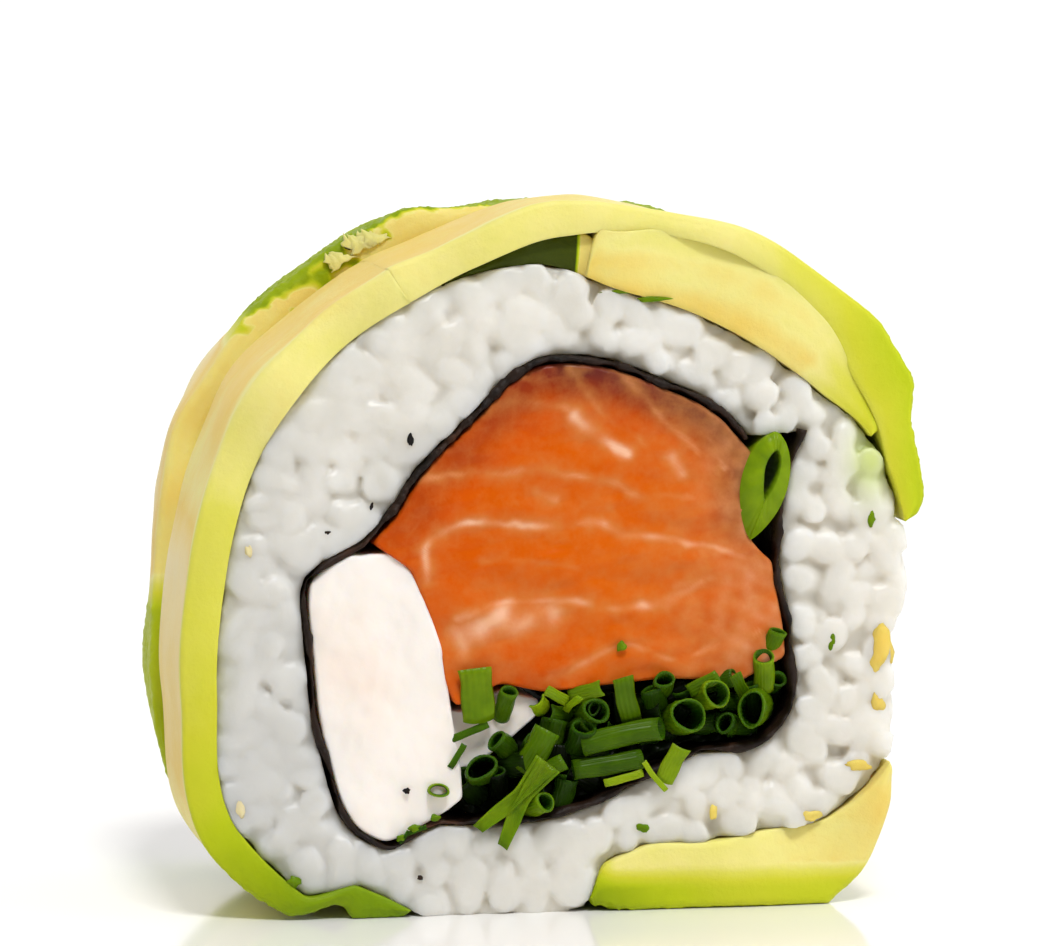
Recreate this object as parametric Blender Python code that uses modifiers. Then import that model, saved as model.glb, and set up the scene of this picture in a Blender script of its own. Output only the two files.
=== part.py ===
"""Salmon maki roll: one cut piece of an inside-out roll, lying on its curved side.

A loop of nori holds salmon, cream cheese and chives. Rice is packed round the nori, and thin
slices of avocado are wrapped round the rice. The roll's axis runs along Y, and the cut face that
shows is at -Y, with +X to its right and +Z up. The piece rests on the plane Z = 0.

Sizes are in millimetres and angles in degrees, and MM turns a size into metres where a mesh is
made. An outline across the roll is a few (angle, radius) keys about the roll's centre, with a
smooth curve through them. Angles run anticlockwise from +X, as seen from the front cut.
"""

import math
import random

import bmesh
import bpy
import numpy as np
from mathutils import Matrix, Vector

MM = 0.001

# The roll
HALF_LENGTH = 12.0  # from the middle of the roll to each cut
CENTRE_Z = 21.5  # height of the roll's centre
STEP = 4.5  # every outline is sampled at the same angles, so that neighbours run parallel
GAP = 0.3  # clearance between neighbouring pieces

# Rice: the outline of the whole pad, and how the loose grains lie on it
RICE_EDGE = (
    (10, 21.7), (22, 20.9), (32, 19.4), (45, 18.2), (60, 17.4), (75, 17.0), (95, 18.2), (118, 18.2),
    (150, 18.9), (180, 20.0), (200, 22.0), (220, 25.1), (232, 25.2), (238, 22.9), (244, 22.7),
    (252, 23.0), (264, 22.2), (273, 21.9), (280, 18.7), (288, 18.3), (298, 19.6), (308, 21.2), (318, 23.6),
    (328, 24.3), (338, 23.0), (346, 21.8), (356, 22.1),
)
BARE_SIDE = (-30.0, 6.0)  # no avocado covers the rice between these angles
GRAIN_STAND = 0.8  # how far the grains stand out of the pad
GRAIN_HALF_LENGTH = 2.6
GRAIN_HALF_WIDTH = 1.15

# Nori: its middle line, from the upper end by the chive stalk, over the salmon, to the curled end
NORI_THICKNESS = 0.45
NORI_LINE = (
    (32, 14.1), (45, 13.6), (60, 12.8), (93, 12.4), (104, 11.6), (116, 10.5), (130, 10.0),
    (158, 10.3), (172, 11.6), (184, 15.3), (198, 15.9), (218, 18.1), (234, 20.3), (238, 20.1),
    (246, 17.2), (270, 15.5), (294, 14.4), (305, 14.5), (320, 17.2), (327, 17.4), (341, 15.5),
    (360, 13.9), (370, 14.2), (378, 15.1), (384, 16.2), (387.5, 17.5),
)

# Avocado: where each slice starts and ends round the roll, and its thickness along that stretch
LEFT_THICKNESS = ((120.2, 2.7), (135, 2.5), (150, 2.8), (165, 2.4), (215, 2.3), (228, 1.8), (236, 1.3),
                  (242, 2.2), (247, 0.6))
TOP_THICKNESS = ((4, 0.6), (9, 1.5), (16, 2.0), (21, 2.2), (27, 3.4), (33, 3.4), (42, 2.5), (51, 1.9), (65, 1.5),
                 (80, 1.9), (95, 2.2), (110, 2.2), (119.3, 2.4))
UNDER_THICKNESS = ((21, 0.4), (30, 1.6), (42, 3.2), (60, 4.0), (72, 3.6), (82, 2.6))
BASE_THICKNESS = ((-84, 6.4), (-54, 6.5), (-47, 5.0), (-42, 3.5), (-36, 1.9), (-31, 0.6))
REAR_LEFT_THICKNESS = ((76, 1.6), (90, 1.9), (101, 2.6), (109, 3.7), (118, 3.85), (130, 3.6), (141, 3.65), (158, 3.55),
                       (170, 3.2), (184, 2.5), (199, 2.75), (213, 1.9), (226, 1.4), (235, 0.7))
REAR_RIGHT_THICKNESS = ((17, 0.6), (25, 1.9), (38, 2.7), (60, 1.7), (74, 1.6))
TUNNEL = ((82, 2.9), (88, 2.0), (95, 1.2), (106, 0.4), (118, 0.0))  # void behind the under slice
LAP = (-1.0, 6.5)  # along Y: the front slices thin from full thickness to an edge over this stretch
LAP_EDGE = 0.25  # thickness of that edge
REAR_RIM_Y = 2.5  # the rear slices lap the front ones from here on
REAR_RIM = 0.4  # least thickness of the rear slices at that rim
REAR_DROP = 0.9  # and how much they lose from there to the rear cut, as the square of the way

# Filling
FILLING_X = -0.3  # outlines drawn by (x, z) points are measured from this far left of the centre
CUT_ROUNDING = 0.35  # the soft edge of salmon and cheese at the two cuts
CHEESE_LOBE_RECESS = 1.2
CHIVE_RECESS = 1.0  # the bed of chives lies this far behind the cuts
CHIVE_SINK = 0.8  # the middle of each short tube lies this far behind them
LEAF_STAND = 0.6  # and the middle of each split leaf this far in front
CHIVE_REACH = 1.2  # no chive stands out further than this
FACE_CLEARANCE = 0.65  # a leaf that hangs over the rice is at least this far in front of the cut

SEED = 5


def clear_scene():
    for thing in list(bpy.data.objects):
        bpy.data.objects.remove(thing, do_unlink=True)


def new_collection(name):
    collection = bpy.data.collections.new(name)
    bpy.context.scene.collection.children.link(collection)
    return collection


def new_material(name, colour, roughness):
    material = bpy.data.materials.new(name)
    material.use_nodes = True
    shader = material.node_tree.nodes["Principled BSDF"]
    shader.inputs["Base Color"].default_value = (*colour, 1.0)
    shader.inputs["Roughness"].default_value = roughness
    shader.inputs["Metallic"].default_value = 0.0
    return material


# Outlines

def through(keys, at, closed=False):
    """Values at the given angles on a smooth curve through the keys that never overshoots one."""
    places, values = np.array(keys, float).T
    if closed:
        places = np.concatenate((places - 360, places, places + 360))
        values = np.tile(values, 3)
    rise = np.diff(values) / np.diff(places)
    slope = np.zeros_like(values)
    both = rise[:-1] * rise[1:]
    total = rise[:-1] + rise[1:]
    slope[1:-1] = np.where(both > 0, 2 * both / np.where(both > 0, total, 1), 0)
    at = np.asarray(at, float)
    first = np.clip(np.searchsorted(places, at) - 1, 0, len(places) - 2)
    width = places[first + 1] - places[first]
    t = np.clip((at - places[first]) / width, 0, 1)
    return ((1 + 2 * t) * (1 - t) ** 2 * values[first] + t ** 2 * (3 - 2 * t) * values[first + 1]
            + t * (1 - t) * width * ((1 - t) * slope[first] - t * slope[first + 1]))


def angles_between(start, end):
    """Both ends and every multiple of STEP between them."""
    whole = np.arange(math.floor(start / STEP) + 1, math.ceil(end / STEP)) * STEP
    return np.concatenate(([start], whole, [end]))


def floor_radius(angles):
    """Radius at which a ray from the centre reaches the plane Z = 0."""
    down = np.maximum(-np.sin(np.radians(angles)), 0.01)
    return CENTRE_Z / down


def rice_edge(angles, inset=0):
    """Radius of the pad's outline, or of one inset from it, cut off flat at Z = 0."""
    return np.minimum(through(RICE_EDGE, np.mod(angles, 360), closed=True) - inset, floor_radius(angles))


def section_points(angles, radii):
    """(x, z) points across the roll."""
    turn = np.radians(angles)
    return np.column_stack((radii * np.cos(turn), CENTRE_Z + radii * np.sin(turn)))


def offset_loop(points, distance):
    """A closed anticlockwise loop moved outwards, each side keeping its direction."""
    ahead = np.roll(points, -1, axis=0) - points
    ahead /= np.linalg.norm(ahead, axis=1)[:, None]
    normal = np.column_stack((ahead[:, 1], -ahead[:, 0]))
    middle = normal + np.roll(normal, 1, axis=0)
    middle /= np.linalg.norm(middle, axis=1)[:, None]
    stretch = np.maximum(np.sum(middle * normal, axis=1), 0.6)
    return points + middle * (distance / stretch)[:, None]


def filling(points):
    """(x, z) points of the filling, set in the roll."""
    return np.array(points) + (FILLING_X, 0)


def nori_angles():
    return angles_between(NORI_LINE[0][0], NORI_LINE[-1][0])


def nori_line():
    angles = nori_angles()
    return section_points(angles, through(NORI_LINE, angles))


def inside_nori(start, end):
    """The stretch of the nori's inner face between two angles, one gap inside it."""
    angles = nori_angles()
    face = offset_loop(nori_line(), -(NORI_THICKNESS / 2 + GAP))
    return face[(angles >= start) & (angles <= end)]


# Meshes

def add_object(name, mesh, collection, material=None):
    thing = bpy.data.objects.new(name, mesh)
    collection.objects.link(thing)
    if material:
        mesh.materials.clear()
        mesh.materials.append(material)
    return thing


def shade(thing, sharp_angle=40):
    thing.data.shade_smooth()
    thing.data.set_sharp_from_angle(angle=math.radians(sharp_angle))


def prism(name, loops, front, back, collection, material=None):
    """Loops of (x, z) points, the first an outline and any others its holes, run along Y."""
    curve = bpy.data.curves.new(name, "CURVE")
    curve.dimensions = "2D"
    curve.fill_mode = "BOTH"
    curve.extrude = (back - front) / 2 * MM
    for loop in loops:
        spline = curve.splines.new("POLY")
        spline.points.add(len(loop) - 1)
        spline.use_cyclic_u = True
        for point, (x, z) in zip(spline.points, loop):
            point.co = (x * MM, z * MM, 0, 1)
    outline = bpy.data.objects.new(name + " outline", curve)
    outline.location.y = (front + back) / 2 * MM
    outline.rotation_euler.x = math.pi / 2
    collection.objects.link(outline)
    bpy.context.view_layer.update()
    mesh = bpy.data.meshes.new_from_object(outline.evaluated_get(bpy.context.evaluated_depsgraph_get()))
    mesh.name = name
    mesh.transform(outline.matrix_world)
    bpy.data.objects.remove(outline, do_unlink=True)
    bm = bmesh.new()
    bm.from_mesh(mesh)
    bmesh.ops.remove_doubles(bm, verts=bm.verts, dist=0.00001)
    bmesh.ops.recalc_face_normals(bm, faces=bm.faces)
    bm.to_mesh(mesh)
    bm.free()
    return add_object(name, mesh, collection, material)


def slab(name, angles, depths, inner, outer, collection, material):
    """A curved slice between two radii, each a function of (angle, y), over a grid of both."""
    bm = bmesh.new()
    bmesh.ops.create_grid(bm, x_segments=len(angles) - 1, y_segments=len(depths) - 1, size=1)
    raised = bmesh.ops.extrude_face_region(bm, geom=bm.faces[:])["geom"]
    top = {item for item in raised if isinstance(item, bmesh.types.BMVert)}
    for vert in bm.verts:
        angle = angles[round((vert.co.x + 1) / 2 * (len(angles) - 1))]
        y = depths[round((vert.co.y + 1) / 2 * (len(depths) - 1))]
        radius = outer(angle, y) if vert in top else inner(angle, y)
        x, z = section_points(angle, radius)[0]
        vert.co = (x * MM, y * MM, z * MM)
    if bm.calc_volume(signed=True) < 0:
        bmesh.ops.reverse_faces(bm, faces=bm.faces)
    mesh = bpy.data.meshes.new(name)
    bm.to_mesh(mesh)
    bm.free()
    shade(add_object(name, mesh, collection, material))


def apply_boolean(thing, operation, operand, solver="EXACT"):
    """Join or trim a mesh with an object or with all the objects of a collection."""
    boolean = thing.modifiers.new(operation.lower(), "BOOLEAN")
    boolean.operation = operation
    boolean.solver = solver
    if isinstance(operand, bpy.types.Collection):
        boolean.operand_type = "COLLECTION"
        boolean.collection = operand
    else:
        boolean.object = operand
    bpy.context.view_layer.update()
    mesh = bpy.data.meshes.new_from_object(thing.evaluated_get(bpy.context.evaluated_depsgraph_get()))
    thing.modifiers.clear()
    thing.data = mesh


def remove_collection(collection):
    for thing in list(collection.objects):
        bpy.data.objects.remove(thing, do_unlink=True)
    bpy.data.collections.remove(collection)


def keep_main_body(thing):
    """Drop loose scraps and fill sealed hollows: only the largest connected shell stays."""
    bm = bmesh.new()
    bm.from_mesh(thing.data)
    bmesh.ops.remove_doubles(bm, verts=bm.verts, dist=0.0000005)
    waiting = set(bm.verts)
    shells = []
    while waiting:
        shell = set()
        edge_of_shell = [waiting.pop()]
        while edge_of_shell:
            vert = edge_of_shell.pop()
            shell.add(vert)
            for edge in vert.link_edges:
                other = edge.other_vert(vert)
                if other in waiting:
                    waiting.remove(other)
                    edge_of_shell.append(other)
        shells.append(shell)
    main = max(shells, key=len)
    bmesh.ops.delete(bm, geom=[vert for vert in bm.verts if vert not in main], context="VERTS")
    bm.to_mesh(thing.data)
    bm.free()


# Rice

def rice_loops(inset, bottom=0):
    """The pad's outline and the hole that the nori fills."""
    angles = np.arange(0, 360, STEP)
    outline = section_points(angles, rice_edge(angles, inset))
    outline[outline[:, 1] < 0.01, 1] = bottom
    hole = offset_loop(nori_line(), NORI_THICKNESS / 2 + GAP + np.min(inset))
    return outline, hole


def bare_share():
    """At each sampled angle, 1 where the rice is bare, fading to 0 where avocado covers it."""
    angles = np.arange(0, 360, STEP)
    turn = np.mod(angles + 180, 360) - 180
    fade = 6.0
    return np.clip(np.minimum(turn - BARE_SIDE[0], BARE_SIDE[1] - turn) / fade, 0, 1)


def grain_seats(rng, spacing, wanted):
    """(x, z) centres over the cut face of the rice, none closer together than the spacing."""
    seats = []
    margin = 1.0
    start, end = NORI_LINE[0][0], NORI_LINE[-1][0]
    for _ in range(6000):
        angle = rng.uniform(start, end)
        low = float(through(NORI_LINE, angle)) + margin
        high = float(rice_edge(angle)) - margin
        if high < low:
            continue
        seat = section_points(angle, math.sqrt(rng.uniform(low ** 2, high ** 2)))[0]
        if all(np.hypot(*(seat - other)) > spacing for other in seats):
            seats.append(seat)
        if len(seats) == wanted:
            break
    return seats


def lay_grain(mesh, place, along, size, collection):
    """One grain with its length along the given direction, lifted clear of the floor."""
    half_width, half_length = GRAIN_HALF_WIDTH * size, GRAIN_HALF_LENGTH * size
    along = Vector(along).normalized()
    drop = math.hypot(half_length * along.z, half_width * math.sqrt(1 - along.z ** 2))
    place = Vector((place[0], place[1], max(place[2], drop + 0.1)))
    turn = along.to_track_quat("Z", "Y").to_matrix().to_4x4()
    grain = add_object("grain", mesh, collection)
    size_matrix = Matrix.Diagonal((half_width * MM, half_width * MM, half_length * MM, 1))
    grain.matrix_world = Matrix.Translation(place * MM) @ turn @ size_matrix


def grain_mesh():
    mesh = bpy.data.meshes.new("grain")
    bm = bmesh.new()
    bmesh.ops.create_uvsphere(bm, u_segments=5, v_segments=4, radius=1)
    bm.to_mesh(mesh)
    bm.free()
    return mesh


def strew_cut_faces(rng, mesh, grains):
    """Grains lying in the two cut faces, more of them in the one that shows."""
    for side, spacing, wanted in ((-1, 2.9, 74), (1, 3.3, 52)):
        for x, z in grain_seats(rng, spacing, wanted):
            size = rng.uniform(0.85, 1.1)
            turn = rng.uniform(0, math.pi)
            along = (math.cos(turn), rng.uniform(-0.25, 0.25), math.sin(turn))
            depth = HALF_LENGTH - GRAIN_HALF_WIDTH * size + rng.uniform(0.0, 0.25)
            lay_grain(mesh, (x, side * depth, z), along, size, grains)


def strew_bare_side(rng, mesh, grains):
    """Three rows of grains along the side that no avocado covers."""
    row_angles = (-24, -15, -6, 2)
    row_ys = (-8.6, -4.3, 0.0, 4.3, 8.6)
    for row, row_angle in enumerate(row_angles):
        for y in row_ys:
            angle = row_angle + rng.uniform(-2, 2)
            size = rng.uniform(0.9, 1.1)
            x, z = section_points(angle, float(rice_edge(angle)) - GRAIN_HALF_WIDTH * size)[0]
            steep = rng.uniform(-0.9, 0.9)
            y += (row % 2) * 1.2 + rng.uniform(-0.6, 0.6)
            lay_grain(mesh, (x, y, z), (0.1 * steep, 1.0, steep), size, grains)


def make_rice(collection, material):
    """A pad with a hole for the nori, and grains fused on where the rice shows."""
    rng = random.Random(SEED)
    recess = HALF_LENGTH - GRAIN_STAND
    core_inset = 0.05 + GRAIN_STAND * bare_share()
    rice = prism("rice", rice_loops(core_inset), -recess, recess, collection, material)
    grains = new_collection("rice grains")
    mesh = grain_mesh()
    strew_cut_faces(rng, mesh, grains)
    strew_bare_side(rng, mesh, grains)
    apply_boolean(rice, "UNION", grains)
    remove_collection(grains)
    room_loops = rice_loops(np.zeros(1), bottom=-1.0)
    trim(rice, [prism("rice room", room_loops, -HALF_LENGTH - 1, HALF_LENGTH + 1, collection)])
    finish_fused(rice, material)


def trim(thing, rooms):
    """Keep only what lies inside the rooms, which are joined and then removed."""
    room = rooms[0]
    for other in rooms[1:]:
        apply_boolean(room, "UNION", other)
        bpy.data.objects.remove(other, do_unlink=True)
    room.hide_render = True
    room.display_type = "WIRE"
    apply_boolean(thing, "INTERSECT", room, solver="MANIFOLD")
    bpy.data.objects.remove(room, do_unlink=True)


def finish_fused(thing, material):
    keep_main_body(thing)
    thing.data.materials.clear()
    thing.data.materials.append(material)
    shade(thing)


# Nori

def make_nori(collection, material):
    line = nori_line()
    bm = bmesh.new()
    bmesh.ops.create_grid(bm, x_segments=len(line) - 1, y_segments=1, size=1)
    for vert in bm.verts:
        x, z = line[round((vert.co.x + 1) / 2 * (len(line) - 1))]
        vert.co = (x * MM, vert.co.y * HALF_LENGTH * MM, z * MM)
    mesh = bpy.data.meshes.new("nori")
    bm.to_mesh(mesh)
    bm.free()
    nori = add_object("nori", mesh, collection, material)
    wall = nori.modifiers.new("sheet thickness", "SOLIDIFY")
    wall.thickness = NORI_THICKNESS * MM
    wall.offset = 0
    shade(nori, 60)


# Filling

def soften_cuts(thing):
    bevel = thing.modifiers.new("soft cut edge", "BEVEL")
    bevel.width = CUT_ROUNDING * MM
    bevel.segments = 2
    bevel.limit_method = "ANGLE"
    bevel.angle_limit = math.radians(60)
    shade(thing)


def make_salmon(collection, material):
    """The thick strip of salmon: domed under the nori, tapering to a tip at the cheese."""
    left_edge = ((-8.2, 21.2), (-7.2, 18.9), (-6.4, 16.6), (-6.0, 14.4), (-5.3, 12.9))
    underside = ((-3.1, 14.2), (-0.3, 13.6), (2.8, 13.9), (7.3, 14.3), (11.9, 14.0), (13.6, 14.9))
    stalk_notch = ((13.2, 21.8), (12.1, 22.8), (11.7, 24.6), (12.1, 26.6), (12.2, 28.0))
    outline = np.concatenate((inside_nori(40, 172), filling(left_edge), filling(underside),
                              inside_nori(338, 360), filling(stalk_notch)))
    salmon = prism("salmon", [outline], -HALF_LENGTH, HALF_LENGTH, collection, material)
    soften_cuts(salmon)


def make_cream_cheese(collection, material):
    """A block of cheese, with a softer lobe squeezed under the salmon, behind the chives."""
    right_edge = ((-5.9, 8.4), (-6.1, 11.5), (-6.4, 14.2), (-6.8, 16.5), (-7.6, 18.8), (-8.6, 21.1),
                  (-9.7, 22.2))
    outline = np.concatenate((inside_nori(176, 244), filling(right_edge)))
    cheese = prism("cream_cheese", [outline], -HALF_LENGTH, HALF_LENGTH, collection, material)
    lobe_outline = ((-6.6, 8.9), (-4.9, 8.9), (-2.7, 10.3), (-0.6, 12.1), (-0.5, 13.1), (-3.1, 13.7),
                    (-5.3, 12.4), (-6.6, 12.6))
    lobe_face = HALF_LENGTH - CHEESE_LOBE_RECESS
    lobe = prism("cheese lobe", [filling(lobe_outline)], -lobe_face, lobe_face, collection)
    apply_boolean(cheese, "UNION", lobe)
    bpy.data.objects.remove(lobe, do_unlink=True)
    finish_fused(cheese, material)
    soften_cuts(cheese)


def circle(radius, sides):
    turn = np.arange(sides) * 2 * math.pi / sides
    return np.column_stack((radius * np.cos(turn), radius * np.sin(turn)))


def lay_chive(mesh, place, turn, lean, size, collection):
    """A piece turned within the cut's plane, then leant out of it; size is width, length, thickness."""
    flat = Matrix.Rotation(math.radians(-turn), 4, "Y") @ Matrix.Rotation(math.radians(lean - 90), 4, "Z")
    chive = add_object("chive", mesh, collection)
    chive.matrix_world = Matrix.Translation(Vector(place) * MM) @ flat @ Matrix.Diagonal((*size, 1))


def strew_chives(pieces):
    """Tubes and split leaves in both ends of the bed, each a row of x, z, turn, lean, length, width."""
    tubes = (
        (8.3, 11.9, 60, 72, 3.4, 2.5), (12.6, 12.1, 40, 75, 3.4, 2.8), (4.9, 10.9, 14, 8, 4.8, 2.0),
        (-3.9, 8.0, 20, 70, 3.2, 2.2), (1.5, 12.2, 100, 65, 3.2, 2.2), (10.3, 12.5, 120, 60, 3.0, 2.1),
        (-0.5, 9.9, 40, 50, 3.2, 2.2), (3.9, 9.0, 8, 12, 4.2, 1.6), (13.3, 14.0, 85, 40, 3.0, 1.7),
        (-0.6, 7.7, 110, 62, 3.2, 1.6), (11.7, 10.1, 160, 55, 3.0, 1.9), (8.4, 9.8, 20, 40, 3.4, 1.8),
    )
    leaves = (
        (-1.6, 8.2, 46, 14, 5.4, 1.5), (4.9, 12.4, 110, 20, 3.2, 2.6), (-4.1, 12.8, 20, 25, 3.4, 2.6),
        (7.2, 9.6, 60, 22, 3.4, 1.6),
    )
    tube = prism("tube", [circle(0.5, 7), circle(0.28, 5)], -0.5, 0.5, pieces)
    leaf = prism("leaf", [((-0.5, -0.08), (0.5, -0.08), (0.5, 0.08), (-0.5, 0.08))], -0.5, 0.5, pieces)
    for side, every in ((-1, 1), (1, 2)):
        for x, z, turn, lean, length, width in tubes[::every]:
            place = (x + FILLING_X, side * (HALF_LENGTH - CHIVE_SINK), z)
            lay_chive(tube.data, place, turn, -side * lean, (width, length, width), pieces)
        for x, z, turn, lean, length, width in leaves[::every]:
            place = (x + FILLING_X, side * (HALF_LENGTH + LEAF_STAND), z)
            lay_chive(leaf.data, place, turn, -side * lean, (width, length, width), pieces)
    for pattern in (tube, leaf):
        bpy.data.objects.remove(pattern, do_unlink=True)


def make_chives(collection, material):
    """Chopped chives: a bed of them, with the pieces that show at the cuts fused on."""
    top_edge = ((14.3, 15.4), (13.8, 14.4), (12.0, 13.5), (7.3, 13.8), (2.8, 13.4), (0.0, 13.0),
                (-0.2, 11.9), (-2.5, 9.9), (-4.6, 8.5), (-5.4, 8.3))
    bed = np.concatenate((inside_nori(247, 336), filling(top_edge)))
    recessed = HALF_LENGTH - CHIVE_RECESS
    chives = prism("chives", [bed], -recessed, recessed, collection, material)
    pieces = new_collection("chive pieces")
    strew_chives(pieces)
    apply_boolean(chives, "UNION", pieces)
    remove_collection(pieces)
    reach = HALF_LENGTH + CHIVE_REACH
    clear = HALF_LENGTH + FACE_CLEARANCE
    pocket = offset_loop(bed, 0.03)
    in_front = ((-9, 4), (15, 4), (15, 17), (-9, 17))
    trim(chives, [prism("pocket", [pocket], -reach, reach, collection),
                  prism("front apron", [in_front], -reach, -clear, collection),
                  prism("back apron", [in_front], clear, reach, collection)])
    finish_fused(chives, material)


def make_chive_stalk(collection, material):
    """The one long flattened tube that runs through the roll beside the salmon."""
    tilt = math.radians(76)
    spin = np.array(((math.cos(tilt), math.sin(tilt)), (-math.sin(tilt), math.cos(tilt))))
    centre = filling((13.2, 26.1))
    half_height, half_width, wall = 3.1, 0.8, 0.3
    outer, bore = (
        circle(1, sides) * (half_height - inset, half_width - inset) @ spin + centre
        for inset, sides in ((0, 14), (wall, 10))
    )
    past_cut = 0.5
    reach = HALF_LENGTH + past_cut
    shade(prism("chive_stalk", [outer, bore], -reach, reach, collection, material))


# Avocado

def smooth_step(value, start, end):
    t = np.clip((value - start) / (end - start), 0, 1)
    return t * t * (3 - 2 * t)


def wrap_bed(angle):
    """Radius on which the outer slices lie: on the rice, or on the under slice and its void."""
    turn = (angle + 180) % 360 - 180
    lift = 0.0
    if UNDER_THICKNESS[0][0] <= turn <= UNDER_THICKNESS[-1][0]:
        lift = float(through(UNDER_THICKNESS, turn)) + GAP
    elif TUNNEL[0][0] < turn < TUNNEL[-1][0]:
        lift = float(through(TUNNEL, turn))
    return float(rice_edge(angle)) + GAP + lift


def front_thickness(angle):
    """Thickness of whichever front slice lies at this angle."""
    keys = TOP_THICKNESS if angle < LEFT_THICKNESS[0][0] else LEFT_THICKNESS
    return float(through(keys, angle))


def front_height(angle, y):
    """The front slices thin out towards the rear ones, which lap them."""
    return max(front_thickness(angle) * (1 - smooth_step(y, *LAP)), LAP_EDGE)


def above_rice(height):
    """A radius function: so far above the wrap's bed, and never below the floor."""
    return lambda angle, y: min(wrap_bed(angle) + height(angle, y), float(floor_radius(angle)))


def make_front_slices(collection, material):
    """The two slices at the cut that shows, meeting in a ragged seam at the upper left."""
    depths = (-HALF_LENGTH, LAP[0], REAR_RIM_Y, (REAR_RIM_Y + LAP[1]) / 2, LAP[1])
    bed = above_rice(lambda angle, y: 0)
    top = above_rice(front_height)
    for name, start, end in (("avocado_left", LEFT_THICKNESS[0][0], LEFT_THICKNESS[-1][0]),
                             ("avocado_top", TOP_THICKNESS[0][0], TOP_THICKNESS[-1][0])):
        slab(name, angles_between(start, end), depths, bed, top, collection, material)


def make_rear_slices(collection, material):
    """The two slices behind them, with the green rims that stand above the front ones."""
    depths = (REAR_RIM_Y, (REAR_RIM_Y + LAP[1]) / 2, LAP[1], (LAP[1] + HALF_LENGTH) / 2, HALF_LENGTH)

    def lapped(angle, y):
        return front_height(angle, y) + GAP if y <= LAP[1] else 0

    for name, keys in (("avocado_rear_left", REAR_LEFT_THICKNESS),
                       ("avocado_rear_right", REAR_RIGHT_THICKNESS)):

        def rear_height(angle, y):
            full = max(float(through(keys, angle)), lapped(angle, y) + REAR_RIM)
            way = (y - REAR_RIM_Y) / (HALF_LENGTH - REAR_RIM_Y)
            return max(full - REAR_DROP * way ** 2, lapped(angle, y) + LAP_EDGE)

        slab(name, angles_between(keys[0][0], keys[-1][0]), depths, above_rice(lapped),
             above_rice(rear_height), collection, material)


def make_inner_slices(collection, material):
    """The slice under the top one, and the one that the roll lies on at the right."""
    depths = (-HALF_LENGTH, 0, HALF_LENGTH)
    for name, keys in (("avocado_under", UNDER_THICKNESS), ("avocado_base", BASE_THICKNESS)):

        def inner(angle, y):
            return min(float(rice_edge(angle)) + GAP, float(floor_radius(angle)) - GAP)

        def outer(angle, y):
            return min(inner(angle, y) + float(through(keys, angle)), float(floor_radius(angle)))

        slab(name, angles_between(keys[0][0], keys[-1][0]), depths, inner, outer, collection, material)


def main():
    clear_scene()
    roll = new_collection("salmon maki roll")
    make_rice(roll, new_material("cooked rice", (0.80, 0.78, 0.72), 0.45))
    make_nori(roll, new_material("nori", (0.020, 0.012, 0.010), 0.55))
    make_salmon(roll, new_material("raw salmon", (0.70, 0.16, 0.03), 0.35))
    make_cream_cheese(roll, new_material("cream cheese", (0.92, 0.84, 0.76), 0.5))
    chive_green = new_material("chives", (0.11, 0.24, 0.02), 0.45)
    make_chives(roll, chive_green)
    make_chive_stalk(roll, chive_green)
    avocado = new_material("avocado", (0.66, 0.66, 0.12), 0.4)
    make_front_slices(roll, avocado)
    make_rear_slices(roll, avocado)
    make_inner_slices(roll, avocado)


main()
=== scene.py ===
"""Salmon maki roll: the looks of one cut piece of an inside-out roll.

The sections follow the roll as it is put together: nori, rice, salmon, cream cheese, chives,
avocado, and then the crumbs that the knife leaves. The roll's axis runs along Y, its cut face is at
-Y, and it lies on Z = 0. Shapes are worked out in millimetres and angles in degrees. An angle runs
anticlockwise round the roll's centre from +X, as seen from the cut face.
"""

import bpy
import numpy as np
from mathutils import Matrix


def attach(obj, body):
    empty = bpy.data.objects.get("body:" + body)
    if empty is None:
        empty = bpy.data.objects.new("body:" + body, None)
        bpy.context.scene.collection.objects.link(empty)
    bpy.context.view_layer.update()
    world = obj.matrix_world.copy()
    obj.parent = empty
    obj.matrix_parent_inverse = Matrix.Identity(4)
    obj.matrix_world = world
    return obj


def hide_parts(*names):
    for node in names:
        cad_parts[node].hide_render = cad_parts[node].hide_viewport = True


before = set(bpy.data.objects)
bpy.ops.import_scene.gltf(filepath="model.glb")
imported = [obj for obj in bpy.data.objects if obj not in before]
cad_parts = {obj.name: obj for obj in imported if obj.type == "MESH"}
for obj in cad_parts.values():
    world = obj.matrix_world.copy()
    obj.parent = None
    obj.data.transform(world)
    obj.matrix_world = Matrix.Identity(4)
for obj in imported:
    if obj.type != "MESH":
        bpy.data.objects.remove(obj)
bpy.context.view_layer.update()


# Nori
# A sheet of dried seaweed, pressed into paper and toasted, nearly black. It is rolled into a loop
# round the filling, and the knife leaves its edge ragged and a little proud of the cut.

MM = 0.001
HALF_LENGTH = 12.0
CENTRE_Z = 21.5
NORI_THICKNESS = 0.4
NORI_REACH = 12.22
NORI_START = 32
NORI_LINE = (
    (32, 14.1), (45, 13.6), (60, 12.8), (93, 12.4), (104, 11.6), (116, 10.5), (130, 10.0), (158, 10.3),
    (172, 11.6), (184, 15.3), (198, 15.9), (218, 18.1), (234, 20.3), (238, 20.1), (246, 17.2),
    (270, 15.5), (294, 14.4), (305, 14.5), (320, 17.2), (327, 17.4), (341, 15.5), (360, 13.9),
    (370, 14.2), (378, 15.1), (384, 16.2), (387.5, 17.5),
)


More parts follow.
